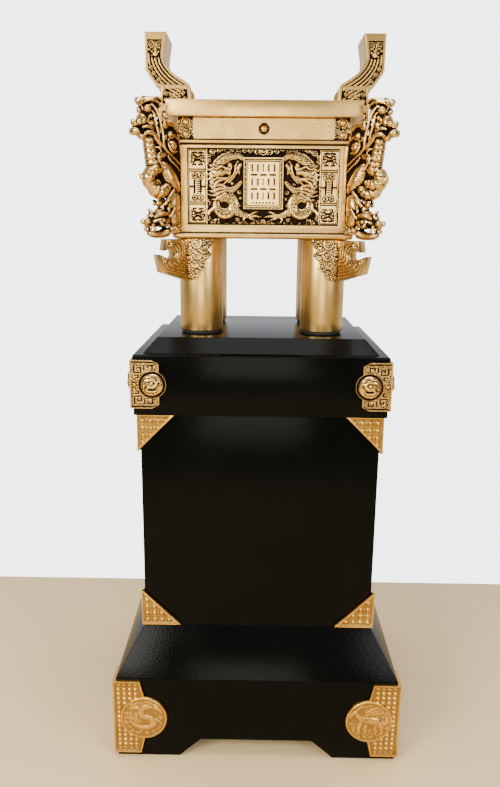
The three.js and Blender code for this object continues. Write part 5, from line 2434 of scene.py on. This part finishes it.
    def _lower_body(self) -> None:
        """The scaled body of the lower dragon, down the corner."""
        body = [(20, 1430), (26, 1410), (29, 1388), (28, 1366), (36, 1350)]
        self._limb(body, (13, 17, 20, 19, 15), Hide.SCALES, 0.95)
        self._limb([(8, 1420), (6, 1380), (10, 1345)], (7, 7, 7))
        self._limb([(56, 1416), (60, 1398), (56, 1380)], (9, 10, 11), Hide.SCALES)
        self._pair([(47, 16, 1402), (52, 18, 1388), (48, 17, 1374)], (2.4, 3.4, 2.2))
        self._beads((40, 15, 1344, 6), (28, 15, 1342, 5), (50, 15, 1350, 4))

    def _lower_head(self) -> None:
        """The lower head with its eye, jaws and horn."""
        skull = [(40, 1358), (56, 1364), (74, 1365), (92, 1359), (110, 1354)]
        self._limb(skull, (15, 18, 17.5, 12, 8.5), Hide.SMOOTH, 1.05)
        self._beads((67, 17, 1363, 5.4), (106, 9, 1360, 7), (93, 11, 1352, 4.4))
        self._pair([(77, 17, 1362), (72, 19, 1354), (62, 19, 1354), (57, 19, 1363)], (2.4, 3.4, 3.4, 2.4))
        self._pair([(92, 13, 1369), (82, 18, 1375), (68, 20, 1378), (52, 18, 1376)], (3, 5.2, 5.6, 3))
        jaw = [(40, 1340), (58, 1333), (76, 1331), (90, 1332), (101, 1337)]
        self._limb(jaw, (13, 11, 9, 8, 5.5), Hide.SMOOTH, 1.5)
        self._pair([(88, 11, 1350), (87, 11, 1337)], (4, 3))
        self._pair([(98, 9, 1350), (97, 9, 1340)], (3.4, 2.4))
        self._limb([(102, 1338), (107, 1343), (104, 1348)], (4, 3.4, 2), Hide.SMOOTH, 1.6, False)
        self._limb([(78, 1380), (62, 1386), (63, 1399), (76, 1400)], (8, 7, 6, 3.5), Hide.SMOOTH, 1.6)
        self._limb([(94, 1368), (90, 1380), (98, 1389)], (6, 5, 2.4), Hide.SMOOTH, 1.5, False)
        self._pair([(54, 17, 1370), (42, 20, 1380), (34, 19, 1394)], (5, 4.4, 2))


# ---- studio


@dataclass
class Studio:
    """The camera, the soft lights and the pale floor."""

    eye: Point = (-0.00767, -1.88972, 1.35791)
    yaw: float = -0.010821
    pitch: float = -0.236947
    roll: float = 0.010292
    lens: float = 32.2
    wall: float = 0.62
    floor_size: Point = (9.0, 5.0)
    glow: float = 4.3

    def make(self) -> None:
        """Sets up the whole studio."""
        self._camera()
        self._floor()
        self._world()
        self._light("key", (-1.85, -2.45, 2.1), (0, -0.1, 1.25), 1.3, 105, (1.0, 0.97, 0.88))
        self._light("fill", (1.85, -2.3, 1.9), (0, -0.1, 1.25), 1.1, 46, (0.97, 0.98, 1.0))
        self._light("front", (-0.1, -3.4, 1.32), (0, -0.1, 1.4), 1.5, 37, (1.0, 0.97, 0.84))
        self._light("overhead", (0.0, -0.4, 3.6), (0, 0, 0.8), 2.0, 70, (1.0, 1.0, 1.0))

    def _camera(self) -> None:
        """Places the camera where the viewer stands."""
        level = math.cos(self.pitch)
        ahead = Vector((math.sin(self.yaw) * level, math.cos(self.yaw) * level, math.sin(self.pitch)))
        right = Vector((math.cos(self.yaw), -math.sin(self.yaw), 0))
        up = right.cross(ahead)
        cos_r, sin_r = math.cos(self.roll), math.sin(self.roll)
        right, up = right * cos_r + up * sin_r, up * cos_r - right * sin_r
        turn = Matrix((right, up, -ahead)).transposed().to_4x4()
        deselect()
        bpy.ops.object.camera_add()
        camera = named("camera")
        camera.matrix_world = Matrix.Translation(self.eye) @ turn
        camera.data.sensor_width = 36
        camera.data.lens = self.lens
        bpy.context.scene.camera = camera

    def _floor(self) -> None:
        """The pale floor, which ends where the wall would stand."""
        deselect()
        bpy.ops.mesh.primitive_plane_add(size=1)
        bpy.ops.transform.resize(value=(*self.floor_size, 1))
        bpy.ops.transform.translate(value=(0, self.wall - self.floor_size[1] / 2, -0.0005))
        bpy.ops.object.transform_apply()
        dress(named("floor"), FLOOR)

    def _world(self) -> None:
        """Pale surroundings, darker behind the viewer than overhead."""
        world = bpy.data.worlds.new("surroundings")
        bpy.context.scene.world = world
        world.use_nodes = True
        tree = world.node_tree
        tree.nodes.clear()
        link = tree.links.new
        place = add_node(tree, "ShaderNodeTexCoord").outputs["Generated"]
        split = add_node(tree, "ShaderNodeSeparateXYZ")
        link(place, split.inputs[0])
        ramp = add_node(tree, "ShaderNodeValToRGB")
        stops = (
            (0.0, (0.26, 0.21, 0.16)), (0.40, (0.26, 0.23, 0.19)), (0.50, (0.04, 0.035, 0.03)),
            (0.70, (0.12, 0.12, 0.12)), (1.0, (0.5, 0.5, 0.52))
        )
        while len(ramp.color_ramp.elements) < len(stops):
            ramp.color_ramp.elements.new(0.5)
        for element, (at, colour) in zip(ramp.color_ramp.elements, stops):
            element.position = at
            element.color = (*colour, 1)
        height = arithmetic(tree, "MULTIPLY_ADD", split.outputs["Z"], 0.5)
        height.node.inputs[2].default_value = 0.5
        link(height, ramp.inputs["Fac"])
        behind = add_node(tree, "ShaderNodeMapRange", interpolation_type="SMOOTHSTEP")
        preset(behind, From_Min=-0.2, From_Max=0.45)
        link(split.outputs["Y"], behind.inputs["Value"])
        room = add_node(tree, "ShaderNodeMix", data_type="RGBA")
        link(behind.outputs["Result"], room.inputs[0])
        link(ramp.outputs["Color"], room.inputs[6])
        room.inputs[7].default_value = (0.95, 0.97, 1.02, 1)
        around = add_node(tree, "ShaderNodeBackground")
        link(room.outputs[2], around.inputs["Color"])
        seen = add_node(tree, "ShaderNodeBackground")
        seen.inputs["Color"].default_value = (0.98, 1.0, 1.04, 1)
        seen.inputs["Strength"].default_value = self.glow
        ray = add_node(tree, "ShaderNodeLightPath").outputs["Is Camera Ray"]
        mix = add_node(tree, "ShaderNodeMixShader")
        output = add_node(tree, "ShaderNodeOutputWorld")
        link(ray, mix.inputs["Fac"])
        link(around.outputs[0], mix.inputs[1])
        link(seen.outputs[0], mix.inputs[2])
        link(mix.outputs[0], output.inputs["Surface"])

    def _light(
        self, name: str, place: Point, target: Point, size: float, power: float, colour: Point
    ) -> None:
        """Hangs one square soft light.

        Args:
            name: Its name.
            place: Where it hangs, in metres.
            target: What it points at.
            size: Its width, in metres.
            power: Its power in watts.
            colour: Its colour.
        """
        deselect()
        bpy.ops.object.light_add(type="AREA", location=place)
        light = named(name)
        light.rotation_mode = "QUATERNION"
        way = Vector(target) - Vector(place)
        light.rotation_quaternion = way.to_track_quat("-Z", "Y")
        light.data.shape = "SQUARE"
        light.data.size = size
        light.data.energy = power
        light.data.color = colour


# ---- making it all


def note_size(stage: str, sizes: dict[str, list[list[float]]]) -> None:
    """Writes the object's box at this stage beside those noted before."""
    low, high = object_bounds()
    sizes[stage] = [list(low), list(high)]


def main() -> None:
    """Builds and dresses the whole object."""
    logging.basicConfig(level=logging.INFO, format="%(name)s: %(message)s")
    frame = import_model()
    sizes: dict[str, list[list[float]]] = {}
    note_size("cad", sizes)
    fittings = (TriangleFittings(), BaseFittings(), CapFittings())
    for part in (
        Studio(), Plinth(frame), *fittings, Vessel(), Panels(), Handles(), Legs(), CornerDragons()
    ):
        part.make()
    note_size("visual", sizes)


if __name__ == "__main__":
    main()
